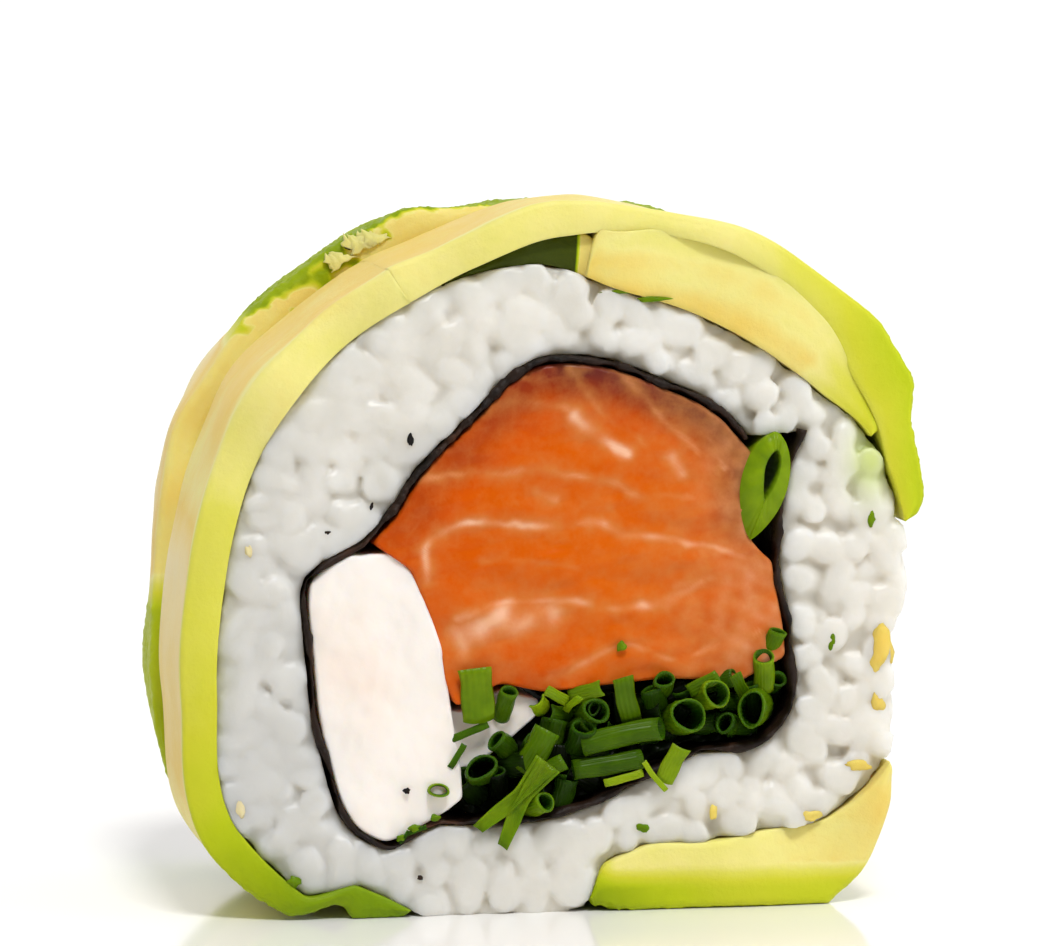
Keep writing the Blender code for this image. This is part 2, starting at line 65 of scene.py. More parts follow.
def through(keys, at, closed=False):
    """Values on a smooth curve through (place, value) keys that never overshoots one: a cubic
    between keys, whose slope at a key is the harmonic mean of the rises on its two sides."""
    places, values = np.array(keys, float).T
    if closed:
        places = np.concatenate((places - 360, places, places + 360))
        values = np.tile(values, 3)
    climb = np.diff(values) / np.diff(places)
    slope = np.zeros_like(values)
    both = climb[:-1] * climb[1:]
    total = climb[:-1] + climb[1:]
    slope[1:-1] = np.where(both > 0, 2 * both / np.where(both > 0, total, 1), 0)
    at = np.asarray(at, float)
    first = np.clip(np.searchsorted(places, at) - 1, 0, len(places) - 2)
    width = places[first + 1] - places[first]
    t = np.clip((at - places[first]) / width, 0, 1)
    return ((1 + 2 * t) * (1 - t) ** 2 * values[first] + t ** 2 * (3 - 2 * t) * values[first + 1]
            + t * (1 - t) * width * ((1 - t) * slope[first] - t * slope[first + 1]))


def across(angles, radii):
    """(x, z) points across the roll: the radius turned through the angle, from the centre."""
    turn = np.radians(angles)
    return np.stack((radii * np.cos(turn), CENTRE_Z + radii * np.sin(turn)), axis=-1)


def beside_nori(distance, start=NORI_START, end=387.5, step=0.75):
    """The nori's middle line between two angles, moved outwards by a distance along its normal."""
    angles = np.arange(start, end + step / 2, step)
    line = across(angles, through(NORI_LINE, angles))
    ahead = np.gradient(line, axis=0)
    ahead /= np.linalg.norm(ahead, axis=1)[:, None]
    return line + distance * np.stack((ahead[:, 1], -ahead[:, 0]), axis=-1)


def rise(value, start, end):
    """0 up to the start, 1 past the end, and straight between them. The end may be the lower one."""
    return np.clip((value - start) / (end - start), 0, 1)


def xyz(x, y, z):
    """Points from three arrays, each spread to the shape of all."""
    return np.stack(np.broadcast_arrays(x, y, z), axis=-1)


def there_and_back(faces, axis=1):
    """The first face followed by the second, which runs the other way."""
    return np.concatenate((faces[0], np.flip(faces[1], axis)), axis)


def ripple(points, size, seed):
    """Smooth noise with a spread of about 1: a sum of sine waves that run in random directions,
    each as long as the given size or up to 1.7 times longer or shorter."""
    rng = np.random.default_rng(seed)
    waves = 24
    aim = rng.normal(size=(waves, points.shape[-1]))
    aim /= np.linalg.norm(aim, axis=1)[:, None]
    aim *= (2 * np.pi / (size * 1.7 ** rng.uniform(-1, 1, waves)))[:, None]
    total = np.zeros(points.shape[:-1])
    for direction, start in zip(aim, rng.uniform(0, 2 * np.pi, waves)):
        total += np.sin(points @ direction + start)
    return total / np.sqrt(waves / 2)


def skin(rings, ends="pole", **marks):
    """A closed surface over a row of closed rings of points. Ends: "pole" fans each end to the
    middle of its ring, "strip" closes it across the wall between the ring's two halves, and
    "joined" leads the last ring back to the first. Marks are values at the ring points."""
    turns, around = rings.shape[:2]
    number = np.arange(turns * around).reshape(turns, around)
    points = rings.reshape(-1, 3)
    marks = {name: np.broadcast_to(mark, (turns, around)).ravel() for name, mark in marks.items()}
    if ends == "joined":
        number = np.vstack((number, number[:1]))
    beside = np.roll(number, -1, axis=1)
    quads = np.stack((number[:-1], beside[:-1], beside[1:], number[1:]), axis=-1).reshape(-1, 4)
    fans = np.zeros((0, 3), int)
    if ends == "strip":
        half = around // 2
        near = np.arange(half - 1)
        far = around - 1 - near
        for ring, flip in ((number[0], True), (number[-1], False)):
            cap = np.stack((ring[near], ring[near + 1], ring[far - 1], ring[far]), axis=-1)
            quads = np.vstack((quads, cap[:, ::-1] if flip else cap))
    if ends == "pole":
        pole = turns * around
        points = np.vstack((points, rings[0].mean(axis=0), rings[-1].mean(axis=0)))
        fans = np.vstack((
            np.stack((beside[0], number[0], np.full(around, pole)), axis=-1),
            np.stack((number[-1], beside[-1], np.full(around, pole + 1)), axis=-1),
        ))
        for name, mark in marks.items():
            grid = mark.reshape(turns, around)
            marks[name] = np.concatenate((mark, (grid[0].mean(), grid[-1].mean())))
    return facing_out({"points": points, "quads": quads, "fans": fans, "marks": marks})


def facing_out(shape):
    """The same shape with its faces turned to face outwards, found from the sign of its volume."""
    points, quads, fans = shape["points"], shape["quads"], shape["fans"]
    thirds = np.vstack((quads[:, :3], quads[:, (0, 2, 3)], fans))
    a, b, c = (points[thirds[:, corner]] for corner in range(3))
    if np.sum(a * np.cross(b, c)) < 0:
        shape["quads"] = quads[:, ::-1]
        shape["fans"] = fans[:, ::-1]
    return shape


def show(name, data):
    """An object of the given data, put into the scene."""
    thing = bpy.data.objects.new(name, data)
    bpy.context.scene.collection.objects.link(thing)
    return thing


def lay(name, shapes, material, slot, *nodes):
    """One mesh of several shapes, in metres, as a piece of the roll that stands for CAD nodes."""
    starts = np.cumsum([0] + [len(shape["points"]) for shape in shapes])
    points = np.concatenate([shape["points"] for shape in shapes]) * MM
    quads, fans = (np.concatenate([shape[kind] + start for shape, start in zip(shapes, starts)])
                   for kind in ("quads", "fans"))
    corners = np.concatenate((quads.ravel(), fans.ravel()))
    firsts = np.concatenate((np.arange(len(quads)) * 4, quads.size + np.arange(len(fans)) * 3))
    mesh = bpy.data.meshes.new(name)
    mesh.vertices.add(len(points))
    mesh.vertices.foreach_set("co", points.astype(np.float32).ravel())
    mesh.loops.add(len(corners))
    mesh.loops.foreach_set("vertex_index", corners.astype(np.int32))
    mesh.polygons.add(len(firsts))
    mesh.polygons.foreach_set("loop_start", firsts.astype(np.int32))
    mesh.update(calc_edges=True)
    mesh.validate()
    mesh.shade_smooth()
    for mark in shapes[0]["marks"]:
        values = np.concatenate([shape["marks"][mark] for shape in shapes]).astype(np.float32)
        mesh.attributes.new(mark, "FLOAT", "POINT").data.foreach_set("value", values)
    mesh.materials.append(material)
    piece = show(name, mesh)
    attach(piece, "root")
    if nodes:
        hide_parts(*nodes)


def linear(colour):
    """An sRGB hex colour as linear RGBA: a channel c is c / 12.92 up to 0.04045, and
    ((c + 0.055) / 1.055) to the power 2.4 above."""
    srgb = [int(colour[at:at + 2], 16) / 255 for at in (1, 3, 5)]
    return (*(c / 12.92 if c <= 0.04045 else ((c + 0.055) / 1.055) ** 2.4 for c in srgb), 1.0)


def add(tree, kind, inputs=None, stops=None, **settings):
    """One node with its settings, the colour stops of a ramp, and its inputs, values or links."""
    node = tree.nodes.new(kind)
    for name, value in settings.items():
        setattr(node, name, value)
    for socket, value in (inputs or {}).items():
        if isinstance(value, bpy.types.NodeSocket):
            tree.links.new(value, node.inputs[socket])
        else:
            node.inputs[socket].default_value = value
    for index, (position, colour) in enumerate(stops or ()):
        elements = node.color_ramp.elements
        stop = elements[index] if index < 2 else elements.new(position)
        stop.position = position
        stop.color = linear(colour)
    return node


def noise(tree, place, scale, detail, roughness=0.5):
    """Noise between 0 and 1, with the scale counted per metre."""
    return add(tree, "ShaderNodeTexNoise", {
        "Vector": place, "Scale": scale, "Detail": detail, "Roughness": roughness}).outputs["Fac"]


def ramp(tree, value, *stops):
    """The colour that a value has between the stops."""
    return add(tree, "ShaderNodeValToRGB", {"Fac": value}, stops).outputs["Color"]


def bump(tree, height, strength, distance):
    """The normal of a relief, whose full height is the distance in metres."""
    inputs = {"Height": height, "Strength": strength, "Distance": distance}
    return add(tree, "ShaderNodeBump", inputs).outputs["Normal"]


def new_material(name):
    """An empty material: the material, its node tree, and its Object coordinates."""
    material = bpy.data.materials.new(name)
    material.use_nodes = True
    material.node_tree.nodes.clear()
    place = add(material.node_tree, "ShaderNodeTexCoord").outputs["Object"]
    return material, material.node_tree, place


def finished(material, inputs):
    """The material closed with the one shader that all of them use."""
    shader = add(material.node_tree, "ShaderNodeBsdfPrincipled", inputs)
    add(material.node_tree, "ShaderNodeOutputMaterial", {"Surface": shader.outputs["BSDF"]})
    return material


def toasted_nori():
    """Toasted laver: brown-black, matt, with a felted surface of fibres about 0.4 mm apart."""
    material, tree, place = new_material("toasted nori")
    return finished(material, {
        "Base Color": ramp(tree, noise(tree, place, 420, 3),
                           (0.35, "#0d0806"), (0.6, "#2a1a10"), (0.75, "#4f2f1c")),
        "Roughness": 0.5, "Specular IOR Level": 0.2,
        "Normal": bump(tree, noise(tree, place, 2200, 4, 0.65), 0.8, 0.00012),
    })


def nori_rings():
    """Rings across the sheet, carried along its line: out along one face and back along the other,
    both moved along the normal by wrinkles, with the two cut edges wavering along Y. The sheet is
    creased double at 105 degrees, and drawn thin from 165 to 262."""
    step = 0.6
    depths = np.linspace(-1, 1, 70)
    line = beside_nori(0, step=step)
    normal = beside_nori(1, step=step) - line
    number = np.arange(len(line))
    along = number[:, None] * 0.17
    angles = NORI_START + number * step
    half = NORI_THICKNESS / 2 * (
        1 + 0.3 * ripple(along, 4.0, 5) + 0.8 * np.exp(-((angles - 105) / 7) ** 2)
        - 0.3 * rise(angles, 165, 175) * rise(angles, 262, 252))
    reach = NORI_REACH + 0.07 * ripple(along, 1.8, 1) + 0.04 * ripple(along, 0.8, 2)
    edge = np.sqrt(np.clip((1 - np.abs(depths)) * 60, 0.15, 1))
    faces = []
    for side in (1, -1):
        flat = xyz(line[:, None, 0], depths * reach[:, None], line[:, None, 1])
        wrinkles = 0.05 * ripple(flat, 3.5, 3) + 0.03 * ripple(flat, 1.1, 4)
        stand = side * half[:, None] * edge + wrinkles
        flat[..., 0] += stand * normal[:, None, 0]
        flat[..., 2] += stand * normal[:, None, 1]
        faces.append(flat)
    return there_and_back(faces)


nori = toasted_nori()
lay("nori_sheet", [skin(nori_rings(), "strip")], nori, "nori", "nori")


# Rice
# Short-grain rice, boiled, seasoned with vinegar and pressed round the nori while warm, so its grains
# stick and half melt together. The knife smears the left of the cut, and single grains show at the
# right, where no avocado covers them.

RICE_EDGE = (
    (10, 21.7), (22, 20.9), (32, 19.4), (45, 18.2), (60, 17.4), (75, 17.0), (95, 18.2), (118, 18.2),
    (150, 18.9), (180, 20.0), (200, 22.0), (220, 25.1), (232, 25.2), (238, 22.9), (244, 22.7),
    (252, 23.0), (264, 22.2), (273, 21.9), (280, 18.7), (288, 18.3), (298, 19.6), (308, 21.2),
    (318, 23.6), (328, 24.3), (338, 23.0), (346, 21.8), (356, 22.1),
)
NORI_CLEAR = 0.06
# The bare side between two angles, how far the pad lies under its outline there, and how far grains
# may stand out of the outline
BARE_SIDE = (-31.0, 14.0)
BARE_SINK = 0.6
EDGE_OUT = 0.12
# The knife's cut, how softly it rounds off, and how far behind it the pad lies
KNIFE = 12.15
KNIFE_SOFT = 0.35
PAD_DEPTH = 0.62
# How softly grains melt into the pad, how much more so in the knife's smear, and how far that reaches
BLEND = 0.26
SMEAR_BLEND = 0.16
BLEND_REACH = 0.8
# A grain's straight half length and its radius, and how grains are strewn
GRAIN_HALF = 0.8
GRAIN_RADIUS = 0.98
CUT_SPACING = 1.45
CUT_TRIES = 5000
SIDE_SPACING = 1.7
SIDE_TRIES = 3000
RIGHT_SINK = 0.15
# How far down the painted shade in the gaps rises to its full strength
GAP_SHADE_DEPTH = 0.8
OVERLAP_SINK = 0.1


def floor_radius(angles):
    """Radius at which a ray from the centre reaches the floor."""
    return CENTRE_Z / np.maximum(-np.sin(np.radians(angles)), 0.01)


def rice_edge(angles):
    """Radius of the rice's outline, cut off flat by the floor."""
    return np.minimum(through(RICE_EDGE, np.mod(angles, 360), closed=True), floor_radius(angles))


def from_sides(points, starts, sides):
    """The least distance from points to straight sides, each given by its start and its run."""
    off = points[:, None] - starts
    along = np.clip((off * sides).sum(-1) / (sides ** 2).sum(-1), 0, 1)
    return np.linalg.norm(off - along[..., None] * sides, axis=-1).min(axis=1)


def from_outline(points, loop):
    """Distance in mm from (x, z) points to a closed loop, negative inside: the least distance to
    any of its sides, with the sign from how many sides a ray to the right crosses."""
    side = np.roll(loop, -1, axis=0) - loop
    gap = from_sides(points, loop, side)
    off = points[:, None] - loop
    crossed = (off[..., 1] < 0) != (off[..., 1] < side[:, 1])
    run = np.where(crossed, side[:, 0] * off[..., 1] / np.where(crossed, side[:, 1], 1), 0)
    inside = (crossed & (off[..., 0] < run)).sum(axis=1) % 2 == 1
    return np.where(inside, -gap, gap)


def wrap_field(field, low, cell):
    """Points and quads of the surface where a field on a grid passes zero: each cell that it
    crosses gets one point, the mean of the crossings on the cell's edges, and each crossed edge
    gets one quad between the four cells around it."""
    inside = field < 0
    corners = sum(
        inside[i:field.shape[0] - 1 + i, j:field.shape[1] - 1 + j, k:field.shape[2] - 1 + k].astype(int)
        for i in (0, 1) for j in (0, 1) for k in (0, 1)
    )
    cells = np.stack(np.nonzero((corners > 0) & (corners < 8)), axis=-1)
    number = np.full(corners.shape, -1)
    number[tuple(cells.T)] = np.arange(len(cells))
    place = np.zeros((len(cells), 3))
    hits = np.zeros(len(cells))
    quads = []
    for axis in range(3):
        step = np.eye(3, dtype=int)[axis]
        others = [np.eye(3, dtype=int)[other] for other in range(3) if other != axis]
        for start in (0 * step, others[0], others[1], others[0] + others[1]):
            a = field[tuple((cells + start).T)]
            b = field[tuple((cells + start + step).T)]
            cut = (a < 0) != (b < 0)
            share = np.where(cut, a / np.where(cut, a - b, 1), 0)
            place += cut[:, None] * (start + share[:, None] * step)
            hits += cut
        ahead = np.roll(inside, -1, axis=axis)
        edges = np.stack(np.nonzero(inside != ahead), axis=-1)
        keep = np.all((edges > 0) & (edges < np.array(field.shape) - 1), axis=1)
        edges = edges[keep]
        first, second = np.roll(np.arange(3), -axis)[1:]
        b, c = np.eye(3, dtype=int)[first], np.eye(3, dtype=int)[second]
        around = np.stack([number[tuple((edges - move).T)] for move in (0 * b, b, b + c, c)], axis=-1)
        outward = inside[tuple(edges.T)]
        quads.append(np.where(outward[:, None], around, around[:, ::-1]))
    points = low + cell * (cells + place / hits[:, None])
    return facing_out({"points": points, "quads": np.concatenate(quads), "fans": np.zeros((0, 3), int),
                       "marks": {}})


def bare_share(angles):
    """1 where the rice is bare, fading to 0 over 6 degrees where avocado covers it."""
    turn = np.mod(angles + 180, 360) - 180
    return np.clip(np.minimum(turn - BARE_SIDE[0], BARE_SIDE[1] - turn) / 6, 0, 1)


def pick_apart(candidates, spacing, wanted):
    """The first of the candidates that lie further than the spacing from all those kept."""
    kept = np.zeros((0, 3))
    for candidate in candidates:
        if len(kept) == wanted:
            break
        if not len(kept) or np.min(np.linalg.norm(kept - candidate, axis=1)) > spacing:
            kept = np.vstack((kept, candidate))
    return kept


def grains_in_cut(rng, y):
    """Grains at a depth behind a cut: centres apart by the spacing, and nearly random lengthwise
    directions within the cut. Each row is a centre, a direction, and a size."""
    angles = rng.uniform(30, 390, CUT_TRIES)
    on_nori = np.minimum(angles, 387)
    low = np.where(angles == on_nori, through(NORI_LINE, on_nori), 16) + 1.0
    high = rice_edge(angles) - 0.7
    radii = np.sqrt(rng.uniform(0, 1, CUT_TRIES) * (high ** 2 - low ** 2) + low ** 2)
    seats = across(angles, radii)[high > low]
    centres = pick_apart(xyz(seats[:, 0], y, seats[:, 1]), CUT_SPACING, 500)
    turn = rng.uniform(0, np.pi, len(centres))
    out = rng.uniform(-1.2, 1.2, len(centres))
    aims = xyz(np.cos(turn) * np.cos(out), np.sin(out), np.sin(turn) * np.cos(out))
    sink = np.sign(y) * RIGHT_SINK * rise(centres[:, 0], -3, 7)
    centres[:, 1] += rng.uniform(-0.16, 0.16, len(centres)) - sink
    return np.hstack((centres, aims, rng.uniform(0.86, 1.12, (len(centres), 1))))


def grains_on_side(rng, sink):
    """Grains at a depth under the bare side, lying mostly along the roll."""
    angles = rng.uniform(BARE_SIDE[0] - 3, BARE_SIDE[1] + 3, SIDE_TRIES)
    seats = across(angles, rice_edge(angles) - sink)
    seats = xyz(seats[:, 0], rng.uniform(-11, 11, SIDE_TRIES), seats[:, 1])
    centres = pick_apart(seats, SIDE_SPACING, 160)
    steep = rng.normal(0, 0.8, len(centres))
    aims = xyz(0.2 * steep, 1.0, steep)
    aims /= np.linalg.norm(aims, axis=1)[:, None]
    return np.hstack((centres, aims, rng.uniform(0.9, 1.1, (len(centres), 1))))


def rice_field(xs, ys, zs, grains):
    """Distance to the rice's surface over a box: the pad's own distance, blended with that of each
    grain, a rod with round ends, then cut off by the outline, the nori and the two knife cuts. The
    knife's smear, 0 at the right and 1 at the left, flattens the grains there."""
    flat = np.stack(np.meshgrid(xs, zs, indexing="ij"), axis=-1).reshape(-1, 2)
    angles = np.arange(0, 360, 2.5)
    shape = (len(xs), 1, len(zs))
    outer = from_outline(flat, across(angles, rice_edge(angles)))
    hole = -from_outline(flat, beside_nori(NORI_THICKNESS / 2 + NORI_CLEAR, step=2.4))
    share = bare_share(np.degrees(np.arctan2(flat[:, 1] - CENTRE_Z, flat[:, 0])))
    room = np.maximum(outer - EDGE_OUT, hole).reshape(shape)
    pad = np.maximum(outer + BARE_SINK * share, hole).reshape(shape)
    smear = rise(flat[:, 0], 5, -9).reshape(shape)
    depth = np.abs(ys)[None, :, None]
    pad_cut = depth - (KNIFE - PAD_DEPTH) - 0.15 * smear
    field = np.maximum(pad, pad_cut) + np.zeros((len(xs), len(ys), len(zs)))
    blend = BLEND + SMEAR_BLEND * smear + 0 * field
    cell = xs[1] - xs[0]
    for grain in grains:
        centre, aim, size = grain[:3], grain[3:6], grain[6]
        half, radius = GRAIN_HALF * size, GRAIN_RADIUS * size
        reach = np.abs(aim) * half + radius + BLEND_REACH
        box = tuple(slice(max(0, int((low - axis[0]) / cell)), max(0, int((high - axis[0]) / cell) + 2))
                    for axis, low, high in zip((xs, ys, zs), centre - reach, centre + reach))
        offs = [axis[part] - middle for axis, part, middle in zip((xs, ys, zs), box, centre)]
        if min(len(off) for off in offs) < 2:
            continue
        x, y, z = np.ix_(*offs)
        t = np.clip(x * aim[0] + y * aim[1] + z * aim[2], -half, half)
        taper = 1 - 0.16 * (t / half) ** 2
        gap = np.sqrt((x - t * aim[0]) ** 2 + (y - t * aim[1]) ** 2 + (z - t * aim[2]) ** 2)
        gap = gap - radius * taper
        near = np.maximum(blend[box] - np.abs(field[box] - gap), 0)
        field[box] = np.minimum(field[box], gap) - near ** 2 / (4 * blend[box])
    grid = xyz(*np.ix_(xs, ys, zs))
    field += 0.035 * ripple(grid, 1.3, 11) + 0.015 * ripple(grid, 0.6, 12)
    knife = depth - KNIFE - 0.1 * ripple(grid, 6.0, 13) - 0.1 * smear * np.abs(ripple(grid, 4.0, 14))
    near = np.maximum(KNIFE_SOFT - np.abs(field - knife), 0)
    field = np.maximum(field, knife) + near ** 2 / (4 * KNIFE_SOFT)
    return np.maximum(field, room)


def rice_shape(grains, low, high, cell):
    """The rice within a box, as a closed mesh, which sinks by 0.1 mm at the box's two ends in Y, so
    that neighbouring boxes pass smoothly into each other where they overlap. Its first mark, a painted
    shade for the gaps, is 0 on the grains that stand furthest out, and rises to 1 in the gaps between
    them, 0.8 mm down. Its second mark, a painted shade, is 0 at the right and rises to the lower left.
    "stain" is high where green flesh has rubbed off, by the tip of the top slice."""
    axes = [np.arange(a - cell * 1.5, b + cell * 2, cell) for a, b in zip(low, high)]
    field = rice_field(*axes, grains)
    for axis, (a, b) in enumerate(zip(low, high)):
        line = np.maximum(a - axes[axis], axes[axis] - b)
        line = line.reshape([-1 if axis == other else 1 for other in range(3)])
        field = np.maximum(field + (axis == 1) * OVERLAP_SINK * rise(line, -0.5, 0), line)
    shape = wrap_field(field, np.array([axis[0] for axis in axes]), cell)
    x, y, z = shape["points"].T
    turn = np.degrees(np.arctan2(z - CENTRE_Z, x))
    side = np.where(bare_share(turn) > 0, rice_edge(turn) - np.hypot(x, z - CENTRE_Z), 2)
    sunk = np.minimum(KNIFE - np.abs(y), side)
    stain = 0.8 * np.exp(-((x - 19.8) ** 2 / 2 + (z - 27.6) ** 2 / 5))
    # Painted shades: darker in the gaps between grains, and greyer towards the lower left
    shape["marks"] = {"gap_shade": rise(sunk, 0, GAP_SHADE_DEPTH),
                      "lower_left_shade": rise(x, 4, -18) * rise(z, 36, 10), "stain": stain}
    return shape


def mark_of(tree, name):
    """The value of one of the mesh's marks."""
    return add(tree, "ShaderNodeAttribute", attribute_name=name).outputs["Fac"]


def mix(tree, share, under, over, blend="MIX"):
    """A colour with a share of another laid over it."""
    return add(tree, "ShaderNodeMix", {"Factor": share, "A": under, "B": over},
               data_type="RGBA", blend_type=blend).outputs["Result"]


def cooked_rice():
    """Boiled rice: white, moist and translucent, so light bleeds through each grain. The gaps between
    grains are painted a pale grey shade instead of dark, and a painted shade greys the lower left."""
    material, tree, place = new_material("cooked rice")
    grain = ramp(tree, noise(tree, place, 330, 3),
                 (0.3, "#d9d5cb"), (0.55, "#e3dfd6"), (0.75, "#ece8e0"))
    # A painted shade that darkens the gaps between grains
    painted_gap_shade = ramp(tree, mark_of(tree, "gap_shade"), (0.25, "#ffffff"), (0.6, "#efede8"), (1.0, "#dcd9d0"))
    # A painted shade that greys the rice towards the lower left
    grain_with_shade = mix(tree, mark_of(tree, "lower_left_shade"), grain, linear("#d0cfcb"))
    shaded = mix(tree, 1.0, grain_with_shade, painted_gap_shade, "MULTIPLY")
    return finished(material, {
        "Base Color": mix(tree, mark_of(tree, "stain"), shaded, linear("#c3d468")),
        "Roughness": 0.36, "IOR": 1.4,
        "Subsurface Weight": 0.85, "Subsurface Radius": (1.0, 0.9, 0.75), "Subsurface Scale": 0.0032,
        "Normal": bump(tree, noise(tree, place, 1500, 3), 0.35, 0.0001),
    })


rng = np.random.default_rng(7)
grains = np.vstack([
    *(grains_in_cut(rng, y) for y in (0.7 - KNIFE, 1.2 - KNIFE, KNIFE - 0.7, KNIFE - 1.2)),
    *(grains_on_side(rng, sink) for sink in (0.8, 1.4)),
])
rice = cooked_rice()
lay("rice_front", [rice_shape(grains, (-26, -12.8, -0.2), (26, -8.4, 41), 0.2)], rice, "rice", "rice")
lay("rice_back", [rice_shape(grains, (-26, 8.4, -0.2), (26, 12.8, 41), 0.24)], rice, "rice")
lay("rice_middle", [rice_shape(grains, (-26, -9.4, -0.2), (26, 9.4, 41), 0.3)], rice, "rice")


# Salmon
# A thick strip of raw salmon, sliced along the fillet, so the cut shows its flakes of orange muscle
# with thin lines of pale fat between them. It is moist, and its corners are softened by the rolling.
# Some pale streaks in the cut are partly pale tissue and partly painted highlights of its wet sheen.

FILLING_X = -0.3
SALMON_CLEAR = 0.07
SALMON_SOFT = 0.28
STRAND_GAP = 0.72
SALMON_MIDDLE = (2.3, 21.6)
SALMON_LEFT = ((-8.65, 21.3), (-7.7, 18.95), (-6.9, 16.6), (-6.5, 14.4), (-5.8, 12.8))
SALMON_UNDER = ((-3.1, 14.2), (-0.3, 13.6), (2.8, 13.9), (7.3, 14.3), (11.9, 14.0), (13.6, 14.9))
STALK_NOTCH = ((13.4, 21.8), (12.5, 22.8), (12.1, 24.6), (12.5, 26.6), (12.7, 28.0))
# Lines of fat in the cut, and a few pale streaks of painted sheen, each a row of (x, z) points,
# with its half width in mm and its strength
FAT_AND_SHEEN_LINES = (
    (((-4.6, 30.4), (-2.0, 31.0), (0.0, 30.8), (1.7, 30.3), (3.5, 28.9), (4.8, 27.7)), 0.22, 0.5),
    (((-8.0, 26.2), (-4.8, 27.1), (-1.6, 27.3), (1.0, 26.8), (3.5, 26.0), (6.1, 25.2), (9.0, 25.4)),
     0.2, 0.6),
    (((-7.6, 20.4), (-7.8, 22.2), (-5.9, 23.4), (-3.3, 23.8), (-0.8, 23.9), (1.8, 23.8), (4.3, 23.1),
      (6.9, 22.6), (9.6, 22.3), (12.0, 21.3)), 0.24, 0.8),
    (((-4.2, 21.2), (-1.6, 21.5), (1.8, 20.9)), 0.16, 0.35),
    (((-5.8, 18.2), (-1.6, 18.6), (0.9, 18.7), (3.5, 18.6), (6.1, 18.6), (7.8, 19.2), (9.5, 20.1)),
     0.25, 0.8),
    (((0.1, 14.0), (1.8, 14.8), (3.5, 15.6), (5.2, 15.9), (7.8, 15.7), (10.4, 15.9), (13.2, 17.0)),
     0.22, 0.6),
    (((0.9, 33.2), (1.8, 32.0), (3.5, 30.6), (5.2, 29.1), (6.6, 27.7)), 0.2, 0.45),
    (((3.5, 33.2), (6.1, 31.2), (7.8, 29.4), (9.5, 27.4), (9.9, 25.8)), 0.22, 0.6),
    (((7.2, 31.6), (9.4, 29.6), (11.2, 27.2), (11.4, 25.0)), 0.18, 0.45),
    (((-2.8, 32.4), (-0.6, 32.6), (2.0, 33.0)), 0.16, 0.3),
    # Up to the wide one low at the left, these rows are partly pale tissue, partly painted wet sheen
    (((1.6, 30.2), (2.6, 29.6), (3.6, 28.6), (4.6, 27.9)), 0.35, 1.0),
    (((6.8, 28.1), (7.5, 27.4), (8.2, 26.7)), 0.35, 0.9), (((-0.9, 25.9), (0.3, 25.5)), 0.22, 0.8),
    (((10.5, 27.9), (10.9, 27.1)), 0.2, 0.8), (((-5.3, 16.9), (-3.4, 17.6), (-0.2, 17.8)), 0.75, 0.95),
    (((1.6, 24.6), (3.0, 24.9), (4.2, 24.2)), 0.3, 0.35),
    (((7.6, 19.6), (9.6, 20.4), (10.6, 20.2)), 0.3, 0.6),
    (((2.6, 14.9), (5.2, 16.3), (8.0, 16.7), (12.6, 16.6)), 0.3, 0.4),
)


def shifted(table):
    """The (x, z) points of a table, moved along with the whole filling."""
    return np.array(table) + (FILLING_X, 0)


def evenly(loop, count, passes=3):
    """A closed loop drawn again with points at even distances, its corners rounded by a few passes
    that replace each point by the mean of itself and its neighbours."""
    closed = np.vstack((loop, loop[:1]))
    far = np.concatenate(([0], np.cumsum(np.linalg.norm(np.diff(closed, axis=0), axis=1))))
    at = np.linspace(0, far[-1], count, endpoint=False)
    even = np.stack([np.interp(at, far, closed[:, axis]) for axis in (0, 1)], axis=-1)
    for _ in range(passes):
        even = (np.roll(even, 1, axis=0) + even + np.roll(even, -1, axis=0)) / 3
    return even


def filled_cut(outline, middle, front, back, soft, faces=60, walls=24):
    """Rings from the middle of the front cut out to its edge, over the rounded edge, along the wall
    and back into the middle of the rear cut. The edge is a quarter circle with the given radius."""
    out = outline - middle
    reach = np.linalg.norm(out, axis=1)
    rows = []
    for side, y_cut in ((-1, front), (1, back)):
        flat = [(middle + out * (share * (1 - soft / reach))[:, None], y_cut)
                for share in np.linspace(0.02, 1, faces)]
        edge = [(middle + out * (1 - soft * (1 - np.sin(a)) / reach)[:, None],
                 y_cut - side * soft * (1 - np.cos(a))) for a in np.linspace(0, np.pi / 2, 6)[1:-1]]
        rows.append(flat + edge)
    wall = [(outline, y) for y in np.linspace(front + soft, back - soft, walls)]
    return np.stack([xyz(ring[:, 0], y, ring[:, 1]) for ring, y in rows[0] + wall + rows[1][::-1]])


def near_line(points, line):
    """Distance from (x, z) points to a smooth line through a few points."""
    key = np.arange(len(line))
    fine = np.linspace(0, len(line) - 1, 10 * len(line))
    drawn = [through(np.stack((key, line[:, axis]), axis=-1), fine) for axis in (0, 1)]
    drawn = np.stack(drawn, axis=-1)
    return from_sides(points, drawn[:-1], np.diff(drawn, axis=0))


